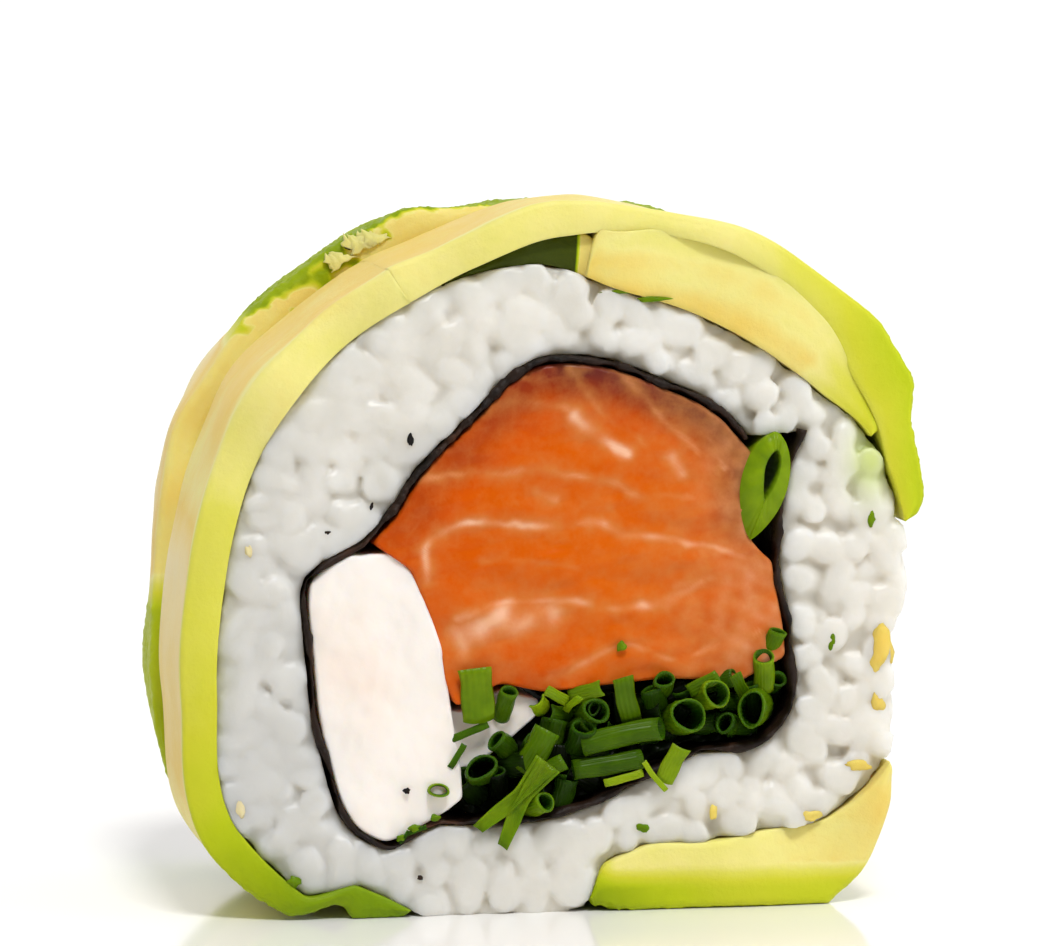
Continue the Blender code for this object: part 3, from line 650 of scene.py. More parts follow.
def fat_of(points):
    """How much fat and painted sheen shows at each point: near each line, its strength times two bell
    curves of the distance over its half width, a narrow strong one and a wide faint one, with the lines
    wandering by a few tenths of a millimetre. The strongest short lines are painted highlights of wet
    sheen on pale tissue. Fainter strands run beside each line, 0.72 mm apart. The muscle itself grows
    paler to the right."""
    flat = points[:, (0, 2)].copy()
    flat[:, 0] += 0.15 * ripple(points, 5.0, 21)
    flat[:, 1] += 0.16 * ripple(points, 6.0, 22) + 0.04 * ripple(points, 1.2, 23) + 0.02 * points[:, 1]
    fat = np.zeros(len(points))
    patchy = 0.85 + 0.2 * ripple(points, 2.2, 24)
    echo = np.clip(0.5 + 0.4 * ripple(points, 3.0, 26), 0, 1)
    for line, half, strength in FAT_AND_SHEEN_LINES:
        gap = near_line(flat, shifted(line))
        band = 0.55 * np.exp(-(gap / (half * 1.4)) ** 2) + 0.35 * np.exp(-(gap / (half * 4)) ** 2)
        strand = np.clip(np.cos(2 * np.pi * gap / STRAND_GAP), 0, 1) ** 2 * np.exp(-gap / 1.5)
        fat = np.maximum(fat, strength * patchy * band)
        fat = np.maximum(fat, 0.42 * strength * echo * strand)
    tan = 0.32 * rise(flat[:, 0], 6, 12) + 0.2 * rise(flat[:, 0], 1, 7)
    return np.clip(np.maximum(fat, tan * (1 + 0.15 * ripple(points, 1.6, 25))), 0, 1)


def worked(tree, operation, *values, clamp=False):
    """The result of one sum."""
    return add(tree, "ShaderNodeMath", dict(enumerate(values)), operation=operation,
               use_clamp=clamp).outputs["Value"]


def raw_salmon():
    """Raw salmon: deep orange muscle that light sinks into, pale lines of fat with streaks of painted
    wet sheen, and a wet gloss.
    """
    material, tree, place = new_material("raw salmon")
    fat = mark_of(tree, "fat")
    fibre = noise(tree, place, 800, 5, 0.65)
    tone = worked(tree, "MULTIPLY_ADD", noise(tree, place, 260, 4, 0.6), 0.26, mark_of(tree, "tone"))
    muscle = ramp(tree, tone, (0.0, "#6a2c24"), (0.22, "#9a3810"), (0.45, "#cf5300"),
                  (0.7, "#d86402"), (0.95, "#dc7a28"))
    # Strong values take a pale pink, which on the sheen streaks is a painted highlight
    fatty = ramp(tree, fat, (0.35, "#cf8a48"), (0.6, "#dc9660"), (1.0, "#efba98"))
    mottle = worked(tree, "MULTIPLY_ADD", fibre, 0.9, fat)
    share = worked(tree, "SUBTRACT", mottle, 0.43, clamp=True)
    return finished(material, {
        "Base Color": mix(tree, share, muscle, fatty),
        "Roughness": 0.3, "IOR": 1.36, "Specular IOR Level": 0.13,
        "Subsurface Weight": 0.25, "Subsurface Radius": (1.0, 0.4, 0.15), "Subsurface Scale": 0.001,
        "Coat Weight": 0.04, "Coat Roughness": 0.2, "Normal": bump(tree, fibre, 0.25, 0.0002),
    })


def salmon_shape():
    """The strip between its outlines, its cuts raised between the lines of fat and painted sheen. Its
    mark "tone" is the muscle's colour: darker by the upper rim, at the right, and in two patches low
    down."""
    inner = -(NORI_THICKNESS / 2 + SALMON_CLEAR)
    outline = evenly(np.concatenate((
        beside_nori(inner, 40, 172), shifted(SALMON_LEFT + SALMON_UNDER),
        beside_nori(inner, 338, 360), shifted(STALK_NOTCH),
    )), 430)
    rings = filled_cut(outline, np.array(SALMON_MIDDLE), -HALF_LENGTH, HALF_LENGTH, SALMON_SOFT)
    points = rings.reshape(-1, 3)
    fat = fat_of(points)
    drawn = points * (0.45, 1.0, 1.0)
    relief = 0.05 * (1 - fat) + 0.1 * ripple(drawn, 3.5, 31) + 0.025 * ripple(drawn, 1.1, 32)
    cut = rise(np.abs(points[:, 1]), HALF_LENGTH - SALMON_SOFT, HALF_LENGTH)
    points[:, 1] += np.sign(points[:, 1]) * cut * relief
    x, z = points[:, 0], points[:, 2]
    rim = np.exp(-(from_outline(points[:, (0, 2)], outline[::4]) / 2.2) ** 2)
    tone = 0.38 + 0.006 * x + 0.1 * np.exp(-((x - 2) ** 2 + (z - 20) ** 2) / 60)
    tone -= 0.55 * rim * rise(z, 19, 27) * np.clip((x + 8) / 9, 0.3, 1) + 0.1 * rise(x, 6, 11)
    tone -= 0.16 * np.exp(-((x + 1) ** 2 + (z - 15.2) ** 2) / 8)
    tone -= 0.14 * np.exp(-((x - 10) ** 2 / 16 + (z - 17) ** 2 / 8))
    grid = rings.shape[:2]
    return skin(points.reshape(rings.shape), fat=fat.reshape(grid), tone=tone.reshape(grid))


lay("salmon_strip", [salmon_shape()], raw_salmon(), "salmon", "salmon")


# Cream cheese
# A stick cut from a block of cream cheese, soft and close-grained, with a lobe of it squeezed under
# the salmon when the roll was pressed. The knife smears its cut nearly smooth.

CHEESE_MIDDLE = (-10.9, 13.6)
CHEESE_RIGHT = (
    (-6.3, 6.5), (-5.4, 7.2), (-5.5, 9.4), (-5.9, 11.5), (-6.3, 14.2), (-6.7, 16.5), (-7.5, 18.8),
    (-8.5, 21.1), (-9.6, 22.3),
)
CHEESE_LOBE = (
    (-6.6, 8.9), (-4.9, 8.9), (-2.7, 10.3), (-0.6, 12.1), (-0.5, 13.1), (-3.1, 13.7), (-5.3, 12.4),
    (-6.6, 12.6),
)
LOBE_RECESS = 0.9
CHEESE_CLEAR = 0.03
CHEESE_SOFT = 0.22


def soft_cheese():
    """Cream cheese: warm white, dull, and so fine that only soft smears show in it."""
    material, tree, place = new_material("cream cheese")
    return finished(material, {
        "Base Color": ramp(tree, noise(tree, place, 160, 3), (0.3, "#f6e6da"), (0.6, "#fdf1e9")),
        "Roughness": 0.48, "IOR": 1.4,
        "Subsurface Weight": 0.5, "Subsurface Radius": (1.0, 0.8, 0.55), "Subsurface Scale": 0.001,
        "Normal": bump(tree, noise(tree, place, 900, 4), 0.25, 0.0002),
    })


def cheese_shapes():
    """The stick and the lobe, each between two cuts with soft edges and a faintly wavy surface."""
    stick = np.concatenate((beside_nori(-(NORI_THICKNESS / 2 + CHEESE_CLEAR), 176, 244),
                            shifted(CHEESE_RIGHT)))
    stick = evenly(stick, 320, 2)
    lobe = evenly(shifted(CHEESE_LOBE), 120)
    shapes = []
    for outline, middle, recess in ((stick, CHEESE_MIDDLE, 0.0), (lobe, lobe.mean(axis=0), LOBE_RECESS)):
        reach = HALF_LENGTH - recess
        rings = filled_cut(outline, np.array(middle), -reach, reach, CHEESE_SOFT, faces=44, walls=16)
        waves = 0.08 * ripple(rings, 5.0, 41) + 0.015 * ripple(rings, 1.4, 42)
        rings[..., 1] += np.sign(rings[..., 1]) * waves
        shapes.append(skin(rings))
    return shapes


lay("cheese_stick", cheese_shapes(), soft_cheese(), "cream_cheese", "cream_cheese")


# Chives
# Chives chopped into short hollow tubes, some split open into leaves, heaped on the nori under the
# salmon. One long tube lies alone beside the salmon, and the knife has cut it on the slant.

CHIVE_BED = (
    (14.3, 15.4), (13.8, 14.4), (12.0, 13.5), (7.3, 13.8), (2.8, 13.4), (0.0, 13.0), (-0.2, 11.9),
    (-2.5, 9.9), (-4.6, 8.5), (-5.4, 8.3),
)
BED_RECESS = 1.6
TUBE_WALL = 0.15
# The pieces that show: x, y in front of the cut, z, turn in the cut's plane, lean out of it, length,
# width, how far the tube is open in degrees, its flatness, and its tint from dark 0 to pale 1
CHIVES_SEEN = (
    (-4.57, 0.2, 13.74, 96, 8, 2.9, 3.0, 130, 0.25, 0.62),
    (-2.75, -0.3, 12.9, 80, 35, 2.2, 1.3, 0, 0.8, 0.45),
    (-4.9, -0.2, 11.3, 22, 5, 2.6, 1.1, 150, 0.6, 0.35),
    (1.35, -0.2, 12.9, 60, 55, 2.2, 1.6, 160, 0.8, 0.8),
    (-0.6, -0.3, 12.8, 130, 50, 2.0, 1.5, 120, 0.8, 0.85),
    (4.7, 0.3, 13.1, 105, 18, 3.0, 2.3, 140, 0.3, 0.5),
    (8.24, 0.1, 11.9, 60, 76, 2.8, 2.6, 0, 0.85, 0.55),
    (9.9, -0.2, 13.2, 40, 72, 2.6, 2.1, 0, 0.8, 0.6),
    (12.8, 0.1, 12.4, 170, 68, 2.8, 2.7, 0, 0.72, 0.5),
    (13.9, -0.2, 16.2, 75, 35, 2.4, 1.3, 0, 0.7, 0.55),
    (13.4, -0.1, 14.5, 95, 20, 2.4, 1.5, 0, 0.7, 0.6),
    (4.4, 0.5, 10.9, 12, 5, 4.9, 1.6, 0, 0.75, 0.42),
    (3.5, 0.3, 9.1, 9, 5, 4.2, 1.4, 0, 0.75, 0.36),
    (4.5, 0.6, 8.3, 15, 5, 2.4, 0.9, 140, 0.6, 0.75),
    (6.25, 0.9, 8.5, 128, 5, 2.4, 0.8, 150, 0.5, 0.8),
    (7.5, 0.8, 9.2, 65, 12, 2.4, 1.6, 120, 0.4, 0.68),
    (-0.85, 0.2, 10.0, 62, 12, 2.9, 1.9, 90, 0.8, 0.5),
    (-0.9, 0.2, 6.7, 40, 60, 2.2, 1.5, 0, 0.85, 0.55),
    (-4.25, 0.0, 8.9, 120, 70, 2.4, 2.4, 0, 0.7, 0.3),
    (-0.2, 0.1, 8.8, 30, 10, 2.4, 1.2, 0, 0.7, 0.5),
    (-8.2, 0.3, 5.4, 20, 5, 1.3, 0.6, 150, 0.4, 0.2),
    (-9.0, 0.2, 5.0, 60, 5, 0.9, 0.5, 150, 0.4, 0.15),
    (6.6, -0.4, 12.9, 110, 40, 2.4, 1.7, 0, 0.7, 0.25),
    (11.3, -0.4, 11.3, 150, 60, 2.4, 1.6, 0, 0.8, 0.3),
    (1.9, -0.3, 10.6, 80, 40, 2.4, 1.8, 0, 0.8, 0.2),
    (-2.9, -0.3, 10.4, 140, 50, 2.2, 1.6, 0, 0.7, 0.3),
    (9.3, 0.3, 13.9, 30, 20, 2.2, 1.5, 140, 0.5, 0.55),
    (11.8, 0.3, 13.8, 120, 30, 1.8, 1.4, 140, 0.5, 0.5),
    (2.3, 0.2, 13.6, 20, 25, 2.4, 1.5, 130, 0.5, 0.6),
    (7.0, 0.2, 13.9, 100, 60, 2.0, 1.5, 0, 0.7, 0.4),
    (0.4, 0.2, 13.4, 150, 30, 1.8, 1.2, 140, 0.5, 0.65),
    (-5.7, 0.0, 9.9, 60, 10, 1.8, 0.9, 150, 0.5, 0.4),
    (10.6, -0.3, 14.0, 20, 30, 2.2, 1.3, 0, 0.7, 0.4),
    (2.6, -0.5, 12.2, 60, 70, 2.2, 2.0, 0, 0.8, 0.3),
    (-6.95, 0.12, 7.76, 85, 84, 0.8, 1.5, 0, 0.62, 0.6),
)
FORKED_LEAF = (-2.1, 0.95, 7.15, 53)


def frame_of(turn, lean, side):
    """Three directions of a piece: along it, across it within the cut's plane, and through it. It
    is turned within the plane, then leant out of the cut on the given side."""
    t, l = np.radians(turn), np.radians(lean)
    along = np.array((np.cos(t) * np.cos(l), side * np.sin(l), np.sin(t) * np.cos(l)))
    over = np.array((-np.sin(t), 0.0, np.cos(t)))
    return along, over, np.cross(along, over)


def chive_shape(row, side, rng):
    """A short tube, or the part of one that is left when it splits: an oval wall 0.15 mm thick,
    carried along a gently bent line, its ends cut on a slant. Closed tubes are joined end to end
    through the bore, and split ones close across their wall."""
    x, stand, z, turn, lean, length, width, split, flat, tint = row
    along, over, out = frame_of(turn, lean, side)
    steps = np.linspace(-0.5, 0.5, 9)[:, None]
    bend = rng.uniform(-0.12, 0.12)
    slant = np.where(steps < 0, rng.uniform(-0.5, 0.5), rng.uniform(-0.5, 0.5)) * np.abs(steps) * 2
    arc = np.linspace(-180 + split, 180 - split, 13) if split else np.arange(0, 360, 18.0)
    arc = np.radians(arc[None])
    middle = np.array((x + FILLING_X, side * (HALF_LENGTH + stand), z))
    wave = 1 + 0.05 * np.sin(3 * arc + 9 * steps)
    walls = []
    for inset in (0, TUBE_WALL):
        a, b = width * 0.44 - inset, width * 0.44 * flat - inset
        p = steps * length + slant * width / 2 * np.cos(arc)
        q = a * np.sin(arc) * wave + bend * length * (steps ** 2 - 0.08)
        r = b * np.cos(arc) * wave - (b * 0.5 if split else 0)
        walls.append(middle + p[..., None] * along + q[..., None] * over - side * r[..., None] * out)
    rib = np.degrees(arc) + 0 * steps
    axis = 1 if split else 0
    return skin(there_and_back(walls, axis), "strip" if split else "joined",
                inside=there_and_back((0 * rib, 0 * rib + 1), axis),
                tint=tint + rng.uniform(-0.06, 0.06), rib=there_and_back((rib, rib), axis))


def forked_shape(side):
    """The leaf whose lower end has split in two: a thin, slightly folded blade for each tip, both
    as wide as the leaf at the top, and drawn apart towards the tips."""
    x, stand, z, turn = FORKED_LEAF
    along, over, out = frame_of(turn, 8, side)
    middle = np.array((x + FILLING_X, side * (HALF_LENGTH + stand), z))
    steps = np.linspace(0, 1, 14)[:, None]
    arc = np.linspace(-1, 1, 7)[None]
    width = np.interp(steps, (0, 0.3, 0.55, 0.9, 1), (0.35, 0.5, 0.4, 0.7, 0.8))
    drift = np.interp(steps, (0, 0.35, 0.6, 1), (0.95, 0.4, 0.15, 0.1))
    rib = there_and_back((arc, arc)) * 90 + 0 * steps
    shapes = []
    for spread in (-1, 1):
        faces = []
        for lift in (0.1, -0.1):
            p = (steps - 0.5) * 5.8 + 0 * arc
            q = spread * drift + width * arc
            r = lift - 0.2 * arc ** 2 + 0.25 * np.sin(3 * steps)
            faces.append(middle + p[..., None] * along + q[..., None] * over + side * r[..., None] * out)
        shapes.append(skin(there_and_back(faces), "strip", inside=0.0, tint=0.62, rib=rib))
    return shapes


def fresh_chives():
    """Fresh chives: glossy green outside with fine ribs along the leaf, one dark green on the inner wall
    as a painted shade in the bore, and thin enough for light to come through."""
    material, tree, place = new_material("fresh chives")
    shade = worked(tree, "MULTIPLY_ADD", noise(tree, place, 700, 3), 0.3, mark_of(tree, "tint"))
    green = ramp(tree, shade, (0.15, "#0c1404"), (0.4, "#284604"), (0.7, "#547404"), (0.95, "#8ca612"))
    ribs = worked(tree, "SINE", worked(tree, "MULTIPLY", mark_of(tree, "rib"), 0.35))
    return finished(material, {
        # The inner wall takes one dark green, a painted shade in the bore
        "Base Color": mix(tree, mark_of(tree, "inside"), green, linear("#2f5204")),
        "Roughness": 0.3, "IOR": 1.36, "Specular IOR Level": 0.16,
        "Subsurface Weight": 0.25, "Subsurface Radius": (0.5, 1.0, 0.2), "Subsurface Scale": 0.0006,
        "Normal": bump(tree, ribs, 0.25, 0.00005),
    })


def bed_shape():
    """The heap's middle, which the pieces at both cuts hide, painted near-black as the shade deep in
    the heap, and its outline.
    """
    outline = evenly(np.concatenate((beside_nori(-(NORI_THICKNESS / 2 + 0.1), 247, 336),
                                     shifted(CHIVE_BED))), 220)
    reach = HALF_LENGTH - BED_RECESS
    rings = filled_cut(outline, outline.mean(axis=0), -reach, reach, 0.5, faces=30, walls=12)
    rings[..., 1] += np.sign(rings[..., 1]) * 0.3 * ripple(rings, 1.6, 51)
    # Its tint, below the darkest stop, paints the heap near-black as shade
    return skin(rings, inside=0.0, tint=-0.1, rib=0.0), outline


def chive_shapes():
    """All the chopped pieces: those that show at the front, others strewn deeper behind them and tinted
    dark as a painted shade, and the same mix at the rear cut."""
    rng = np.random.default_rng(17)
    bed, outline = bed_shape()
    shapes = [bed]
    for side, seen in ((-1, CHIVES_SEEN), (1, CHIVES_SEEN[::2])):
        shapes += [chive_shape(row, side, rng) for row in seen]
        spots = rng.uniform((-6, 4), (14.5, 15), (2000, 2))
        spots = spots[from_outline(spots, outline) < -0.7]
        for x, _, z in pick_apart(xyz(spots[:, 0], 0.0, spots[:, 1]), 1.3, 60):
            # Pieces strewn deeper take dark tints, a painted shade between the front ones
            row = (x - FILLING_X, rng.uniform(-1.5, -0.7), z, rng.uniform(0, 180), rng.uniform(0, 75),
                   rng.uniform(1.6, 3.0), rng.uniform(1.1, 2.1), rng.choice((0, 0, 0, 130)),
                   rng.uniform(0.6, 0.9), rng.uniform(-0.1, 0.28))
            shapes.append(chive_shape(row, side, rng))
    return shapes + forked_shape(-1)


STALK_MIDDLE = (12.95, 26.1)
STALK_TILT = 77


def stalk_shape():
    """The long tube: a flattened loop pointed at both ends, with a narrow bore above its middle,
    carried along the whole roll and past both cuts, more so at its upper end."""
    turn = np.radians(np.arange(0, 360, 7.5))
    up, over = np.sin(np.radians(STALK_TILT)), np.cos(np.radians(STALK_TILT))
    depths = np.linspace(-1, 1, 30)[:, None]
    walls = []
    for half, width, rise_by, drift in ((3.4, 1.45, 0.0, 0.0), (1.6, 0.42, 0.7, -0.25)):
        p = half * np.sin(turn) + rise_by
        q = width * np.cos(turn) * np.sqrt(np.abs(np.cos(turn))) + 0.1 * np.sin(turn * 2) + drift
        y = depths * (12.45 + 0.35 * p / 3.3) + 0.04 * np.sin(5 * turn)
        walls.append(xyz(STALK_MIDDLE[0] + p * over - q * up, y, STALK_MIDDLE[1] + p * up + q * over))
    faces = [walls[0][end] * 0.12 + walls[1][end] * 0.88 for end in (-1, 0)]
    rings = np.concatenate((walls[0], faces[:1], walls[1][::-1], faces[1:]), axis=0)
    count = len(depths)
    inside = np.repeat((0.0, 0.4, 0.0), (count + 1, count, 1))[:, None] + 0 * turn
    return skin(rings, "joined", inside=inside, tint=0.68, rib=np.degrees(turn))


chive_green = fresh_chives()
lay("chopped_chives", chive_shapes(), chive_green, "chives", "chives")
lay("long_chive", [stalk_shape()], chive_green, "chives", "chive_stalk")


# Avocado
# Six thin slices of ripe avocado, wrapped round the rice and pressed on. Each runs from the green
# flesh next to the skin, at its front edge, to the yellow and then cream flesh next to the stone. The
# rear slices overlap the front ones, and one lies hidden under the top slice.

RICE_CLEAR = 0.1
LIFT = (
    (14, 0.0), (22, 0.7), (30, 1.9), (42, 3.5), (60, 4.3), (72, 3.9), (82, 2.9), (88, 2.0), (95, 1.2),
    (106, 0.4), (118, 0.0),
)
LEFT_THICKNESS = (
    (120.2, 2.5), (135, 2.5), (150, 2.8), (165, 2.4), (215, 2.3), (228, 1.8), (236, 1.3), (242, 2.2),
    (247, 0.6),
)
TOP_THICKNESS = (
    (4, 0.6), (9, 1.5), (16, 2.0), (21, 2.2), (27, 3.4), (33, 3.4), (42, 2.5), (51, 1.9), (65, 1.5),
    (80, 1.9), (95, 2.2), (110, 2.2), (119.3, 2.4),
)
UNDER_THICKNESS = ((21, 0.4), (30, 1.6), (42, 3.2), (60, 4.0), (72, 3.6), (82, 2.6))
BASE_THICKNESS = ((-84, 6.4), (-54, 6.5), (-47, 5.0), (-42, 3.5), (-36, 1.9), (-31, 0.6))
REAR_LEFT_THICKNESS = (
    (76, 1.6), (90, 1.9), (101, 2.6), (109, 3.7), (118, 3.85), (130, 3.6), (141, 3.65), (158, 3.55),
    (170, 3.2), (184, 2.5), (199, 2.75), (213, 1.9), (226, 1.4), (235, 0.7),
)
REAR_RIGHT_THICKNESS = ((17, 0.6), (25, 1.9), (38, 2.7), (60, 1.7), (74, 1.6))
LAP = (-1.0, 6.5)
LAP_EDGE = 0.25
FRONT_REACH = (-12.25, 7.0)
REAR_REACH = (2.5, 12.1)
REAR_RIM = 0.4
REAR_DROP = 0.9
FLOOR_CLEAR = 0.02
RING_STEP = 0.42


def on_rice(angles):
    """Radius just over the rice."""
    return rice_edge(angles) + RICE_CLEAR


def wrap_bed(angles):
    """Radius on which the outer slices lie: on the rice, or on the slice under them."""
    turn = np.mod(angles + 180, 360) - 180
    lift = np.where((turn > LIFT[0][0]) & (turn < LIFT[-1][0]), through(LIFT, turn), 0)
    return on_rice(angles) + lift


def before_lap(y):
    """1 at the front, and 0 behind the lap, along a smooth step in Y."""
    t = rise(y, *LAP)
    return 1 - t * t * (3 - 2 * t)


def front_height(angles, y):
    """Height of a front slice, which thins out towards the rear ones."""
    keys = TOP_THICKNESS if np.max(angles) < LEFT_THICKNESS[0][0] else LEFT_THICKNESS
    return np.maximum(through(keys, angles) * before_lap(y), LAP_EDGE)


def lapped_height(angles, y):
    """Height of whichever front slice the rear ones lap, fading out where it ends."""
    left = through(LEFT_THICKNESS, np.maximum(angles, LEFT_THICKNESS[0][0]))
    top = through(TOP_THICKNESS, np.minimum(angles, TOP_THICKNESS[-1][0]))
    under = np.where(angles > LEFT_THICKNESS[0][0], left, top)
    lap = np.maximum(under * before_lap(y), LAP_EDGE) + 0.06
    return lap * rise(y, LAP[1] + 0.6, LAP[1])


def slice_rings(span, reach, low, high, soft, wave, seed, noses=(1.0, 1.0), slant=0.0):
    """Rings across a slice, carried round the roll, with the angle at each point and a mark that is
    1 on the outer face and 0 on the inner one. A ring leaves the front edge, follows the outer
    face, comes round the back and returns along the inner face. The outer edges are quarter
    circles, both ends close in a nose, sharper the larger its number in noses, and the faces carry
    soft waves. The first end slants away from the front by the given degrees at the back."""
    front, back = reach
    angles = np.linspace(*span, int((span[1] - span[0]) / RING_STEP))[:, None]
    lead = soft * (1 - np.cos(np.linspace(0, np.pi / 2, 6)))[:-1]
    flat = np.linspace(front + soft, back - soft, 46)
    ys = np.concatenate((front + lead, flat, (back - lead)[::-1]))[None]
    ahead, behind = rise(ys, front + soft, front), rise(ys, back - soft, back)
    drop = soft * (2 - np.sqrt(1 - ahead ** 2) - np.sqrt(1 - behind ** 2))
    bed = low(angles, ys) + 0 * ys
    depth = np.maximum(high(angles, ys) - bed, 0.12)
    nose = np.minimum((angles - span[0]) * noses[0], (span[1] - angles) * noses[1])
    nose = 1.6 * np.radians(nose) * bed.mean() / np.maximum(depth, 0.5)
    depth = depth * np.maximum(np.sqrt(1 - (1 - np.clip(nose, 0, 1)) ** 2), 0.08)
    drop = np.minimum(drop, depth * 0.42)
    bend = wave * ripple(xyz(angles * 0.35, ys, 0)[..., :2], 9.0, seed)
    outer = bed + depth - drop + np.minimum(bend, 0.3) * np.clip(depth, 0, 1)
    inner = bed + 0.1 * np.minimum(drop, depth)
    tips = np.linspace(0, 1, 12)[None, 1:-1]
    back_r = outer[:, -1:] * (1 - tips) + inner[:, -1:] * tips
    front_r = inner[:, :1] * (1 - tips) + outer[:, :1] * tips
    radii = np.hstack((outer, back_r, inner[:, ::-1], front_r))
    bulge = 0.12 * np.sin(np.pi * tips)
    y = np.hstack((ys, back + bulge, ys[:, ::-1], front - bulge))
    y = y + 0.14 * ripple(angles * 0.35, 11.0, seed + 1)[:, None] * rise(y, front + 3, front)
    turn = np.radians(angles + slant * rise(y, front, back) ** 2 * np.exp((span[0] - angles) / 6))
    rings = xyz(radii * np.cos(turn), y, np.maximum(CENTRE_Z + radii * np.sin(turn), FLOOR_CLEAR))
    outward = np.hstack((np.ones_like(ys), 1 - tips, np.zeros_like(ys), tips)) + 0 * angles
    return rings, angles + 0 * outward, outward


def ripe_avocado():
    """Ripe avocado flesh: green and faintly hairy by the skin, yellow-green within, and cream by
    the stone. It is soft and buttery, with a dull wet sheen and some light passing through."""
    material, tree, place = new_material("ripe avocado")
    cloud = noise(tree, place, 190, 4, 0.55)
    cloudy = worked(tree, "MULTIPLY_ADD", cloud, 0.16, mark_of(tree, "ripe"))
    flesh = ramp(tree, worked(tree, "SUBTRACT", cloudy, 0.08),
                 (0.0, "#3c4606"), (0.1, "#728f04"), (0.2, "#96a908"), (0.32, "#b8c418"),
                 (0.45, "#cecd34"), (0.55, "#dad55a"), (0.64, "#eae08a"), (0.73, "#e9c75e"),
                 (0.86, "#efd998"), (1.0, "#efe1c0"))
    return finished(material, {
        "Base Color": flesh, "Roughness": 0.42, "IOR": 1.38, "Specular IOR Level": 0.2,
        "Subsurface Weight": 0.35, "Subsurface Radius": (1.0, 0.85, 0.3), "Subsurface Scale": 0.0012,
        "Normal": bump(tree, noise(tree, place, 1500, 5, 0.7), 0.45, 0.0002),
    })


def slice_shape(rings, angles, outward, ripe, fuzz, seed):
    """A slice with its ripeness at each point, and a fine nap raised on its green parts."""
    hairs = 0.5 * ripple(rings, 0.8, seed) + 0.5 * ripple(rings, 0.45, seed + 1)
    lift = fuzz * rise(ripe, 0.45, 0.15) * outward * hairs
    turn = np.radians(angles)
    rings = rings + xyz(lift * np.cos(turn), 0, lift * np.sin(turn))
    rings[..., 2] = np.maximum(rings[..., 2], FLOOR_CLEAR)
    return skin(rings, ripe=ripe)


avocado = ripe_avocado()

rings, angles, outward = slice_rings(
    (119.3, 247), FRONT_REACH, lambda a, y: np.minimum(wrap_bed(a), floor_radius(a) - 0.3),
    lambda a, y: np.minimum(wrap_bed(a) + front_height(a, y), floor_radius(a)),
    soft=0.4, wave=0.08, seed=61, noses=(14, 1))
behind_cut = rise(rings[..., 1], -11.9, -10.9) * outward
ripe = 0.63 - 0.08 * rise(angles, 152, 172) - 0.16 * rise(angles, 182, 212)
ripe -= 0.28 * rise(angles, 212, 234)
ripe += behind_cut * (0.1 + 0.22 * rise(angles, 168, 180))
lay("left_slice", [slice_shape(rings, angles, outward, ripe, 0.05, 62)], avocado, "avocado",
    "avocado_left")

rings, angles, outward = slice_rings(
    (6, 120.15), FRONT_REACH, lambda a, y: wrap_bed(a),
    lambda a, y: wrap_bed(a) + front_height(a, y),
    soft=0.4, wave=0.08, seed=64, noses=(1, 14), slant=5.0)
behind_cut = rise(rings[..., 1], -11.9, -10.9) * outward
ripe = 0.63 - 0.32 * rise(angles, 62, 28) * (0.5 + 0.5 * outward)
ripe += behind_cut * 0.1 * rise(angles, 60, 100)
top_slice = slice_shape(rings, angles, outward, ripe, 0.1, 65)
# Each torn flake: the angle, y and radius of its root, its length and width
FLAKES = ((121.2, 2.4, 20.8, 1.3, 1.7), (116.6, 2.4, 20.9, 1.6, 1.7), (114.4, 2.4, 20.9, 1.4, 1.9))


def torn_flake(angle, y, root, length, width, seed):
    """A ragged lip of flesh that has torn from the overlap: a thin blade that stands out of the
    roll, leans round it, and narrows to an uneven tip."""
    way = np.linspace(0, 1, 14)[:, None]
    side = np.linspace(-1, 1, 11)[None]
    curl = np.radians(48 + 26 * way)
    round_by = np.cumsum(np.cos(curl), axis=0) * length / 14
    out_by = np.cumsum(np.sin(curl), axis=0) * length / 14
    ragged = 1 + 0.18 * ripple(way * length, 0.6, seed)[:, None]
    half_width = width / 2 * (1 - 0.8 * way ** 1.5) * ragged
    turn = np.radians(angle) + (round_by + side * half_width) / root
    radius = root + out_by + 0.12 * ripple((side + way * length)[..., None], 1.3, seed)
    depth = y + 0.3 * way ** 2 + 0.1 * side ** 2
    faces = [xyz(radius * np.cos(turn), depth + wall * (1 - 0.7 * way), CENTRE_Z + radius * np.sin(turn))
             for wall in (0.25, -0.2)]
    return skin(there_and_back(faces), "strip", ripe=0.66)


flakes = [torn_flake(*flake, seed) for seed, flake in enumerate(FLAKES, 81)]
lay("top_slice", [top_slice, *flakes], avocado, "avocado", "avocado_top")

rings, angles, outward = slice_rings(
    (21, 83.8), (-12.2, 11.9), lambda a, y: on_rice(a),
    lambda a, y: on_rice(a) + 0.6 + through(UNDER_THICKNESS, a),
    soft=0.12, wave=0.03, seed=67, noses=(1, 3))
ripe = 0.69 + 0.03 * rise(angles, 60, 80) - 0.07 * outward - 0.24 * rise(angles, 38, 24)
ripe += 0.015 * np.sin(11 * outward + angles / 9)
under = slice_shape(rings, angles, outward, ripe, 0.0, 68)
# A tongue of the same slice lies in the gap under the top one, amber at its end and green within
rings, angles, outward = slice_rings(
    (80, 112), (-11.6, 11.7), lambda a, y: on_rice(a), lambda a, y: wrap_bed(a) + 0.1,
    soft=0.3, wave=0.1, seed=78)
tongue = slice_shape(rings, angles, outward, 0.73 * rise(angles, 85.8, 85.3) - 0.05, 0.1, 79)
lay("under_slice", [under, tongue], avocado, "avocado", "avocado_under")

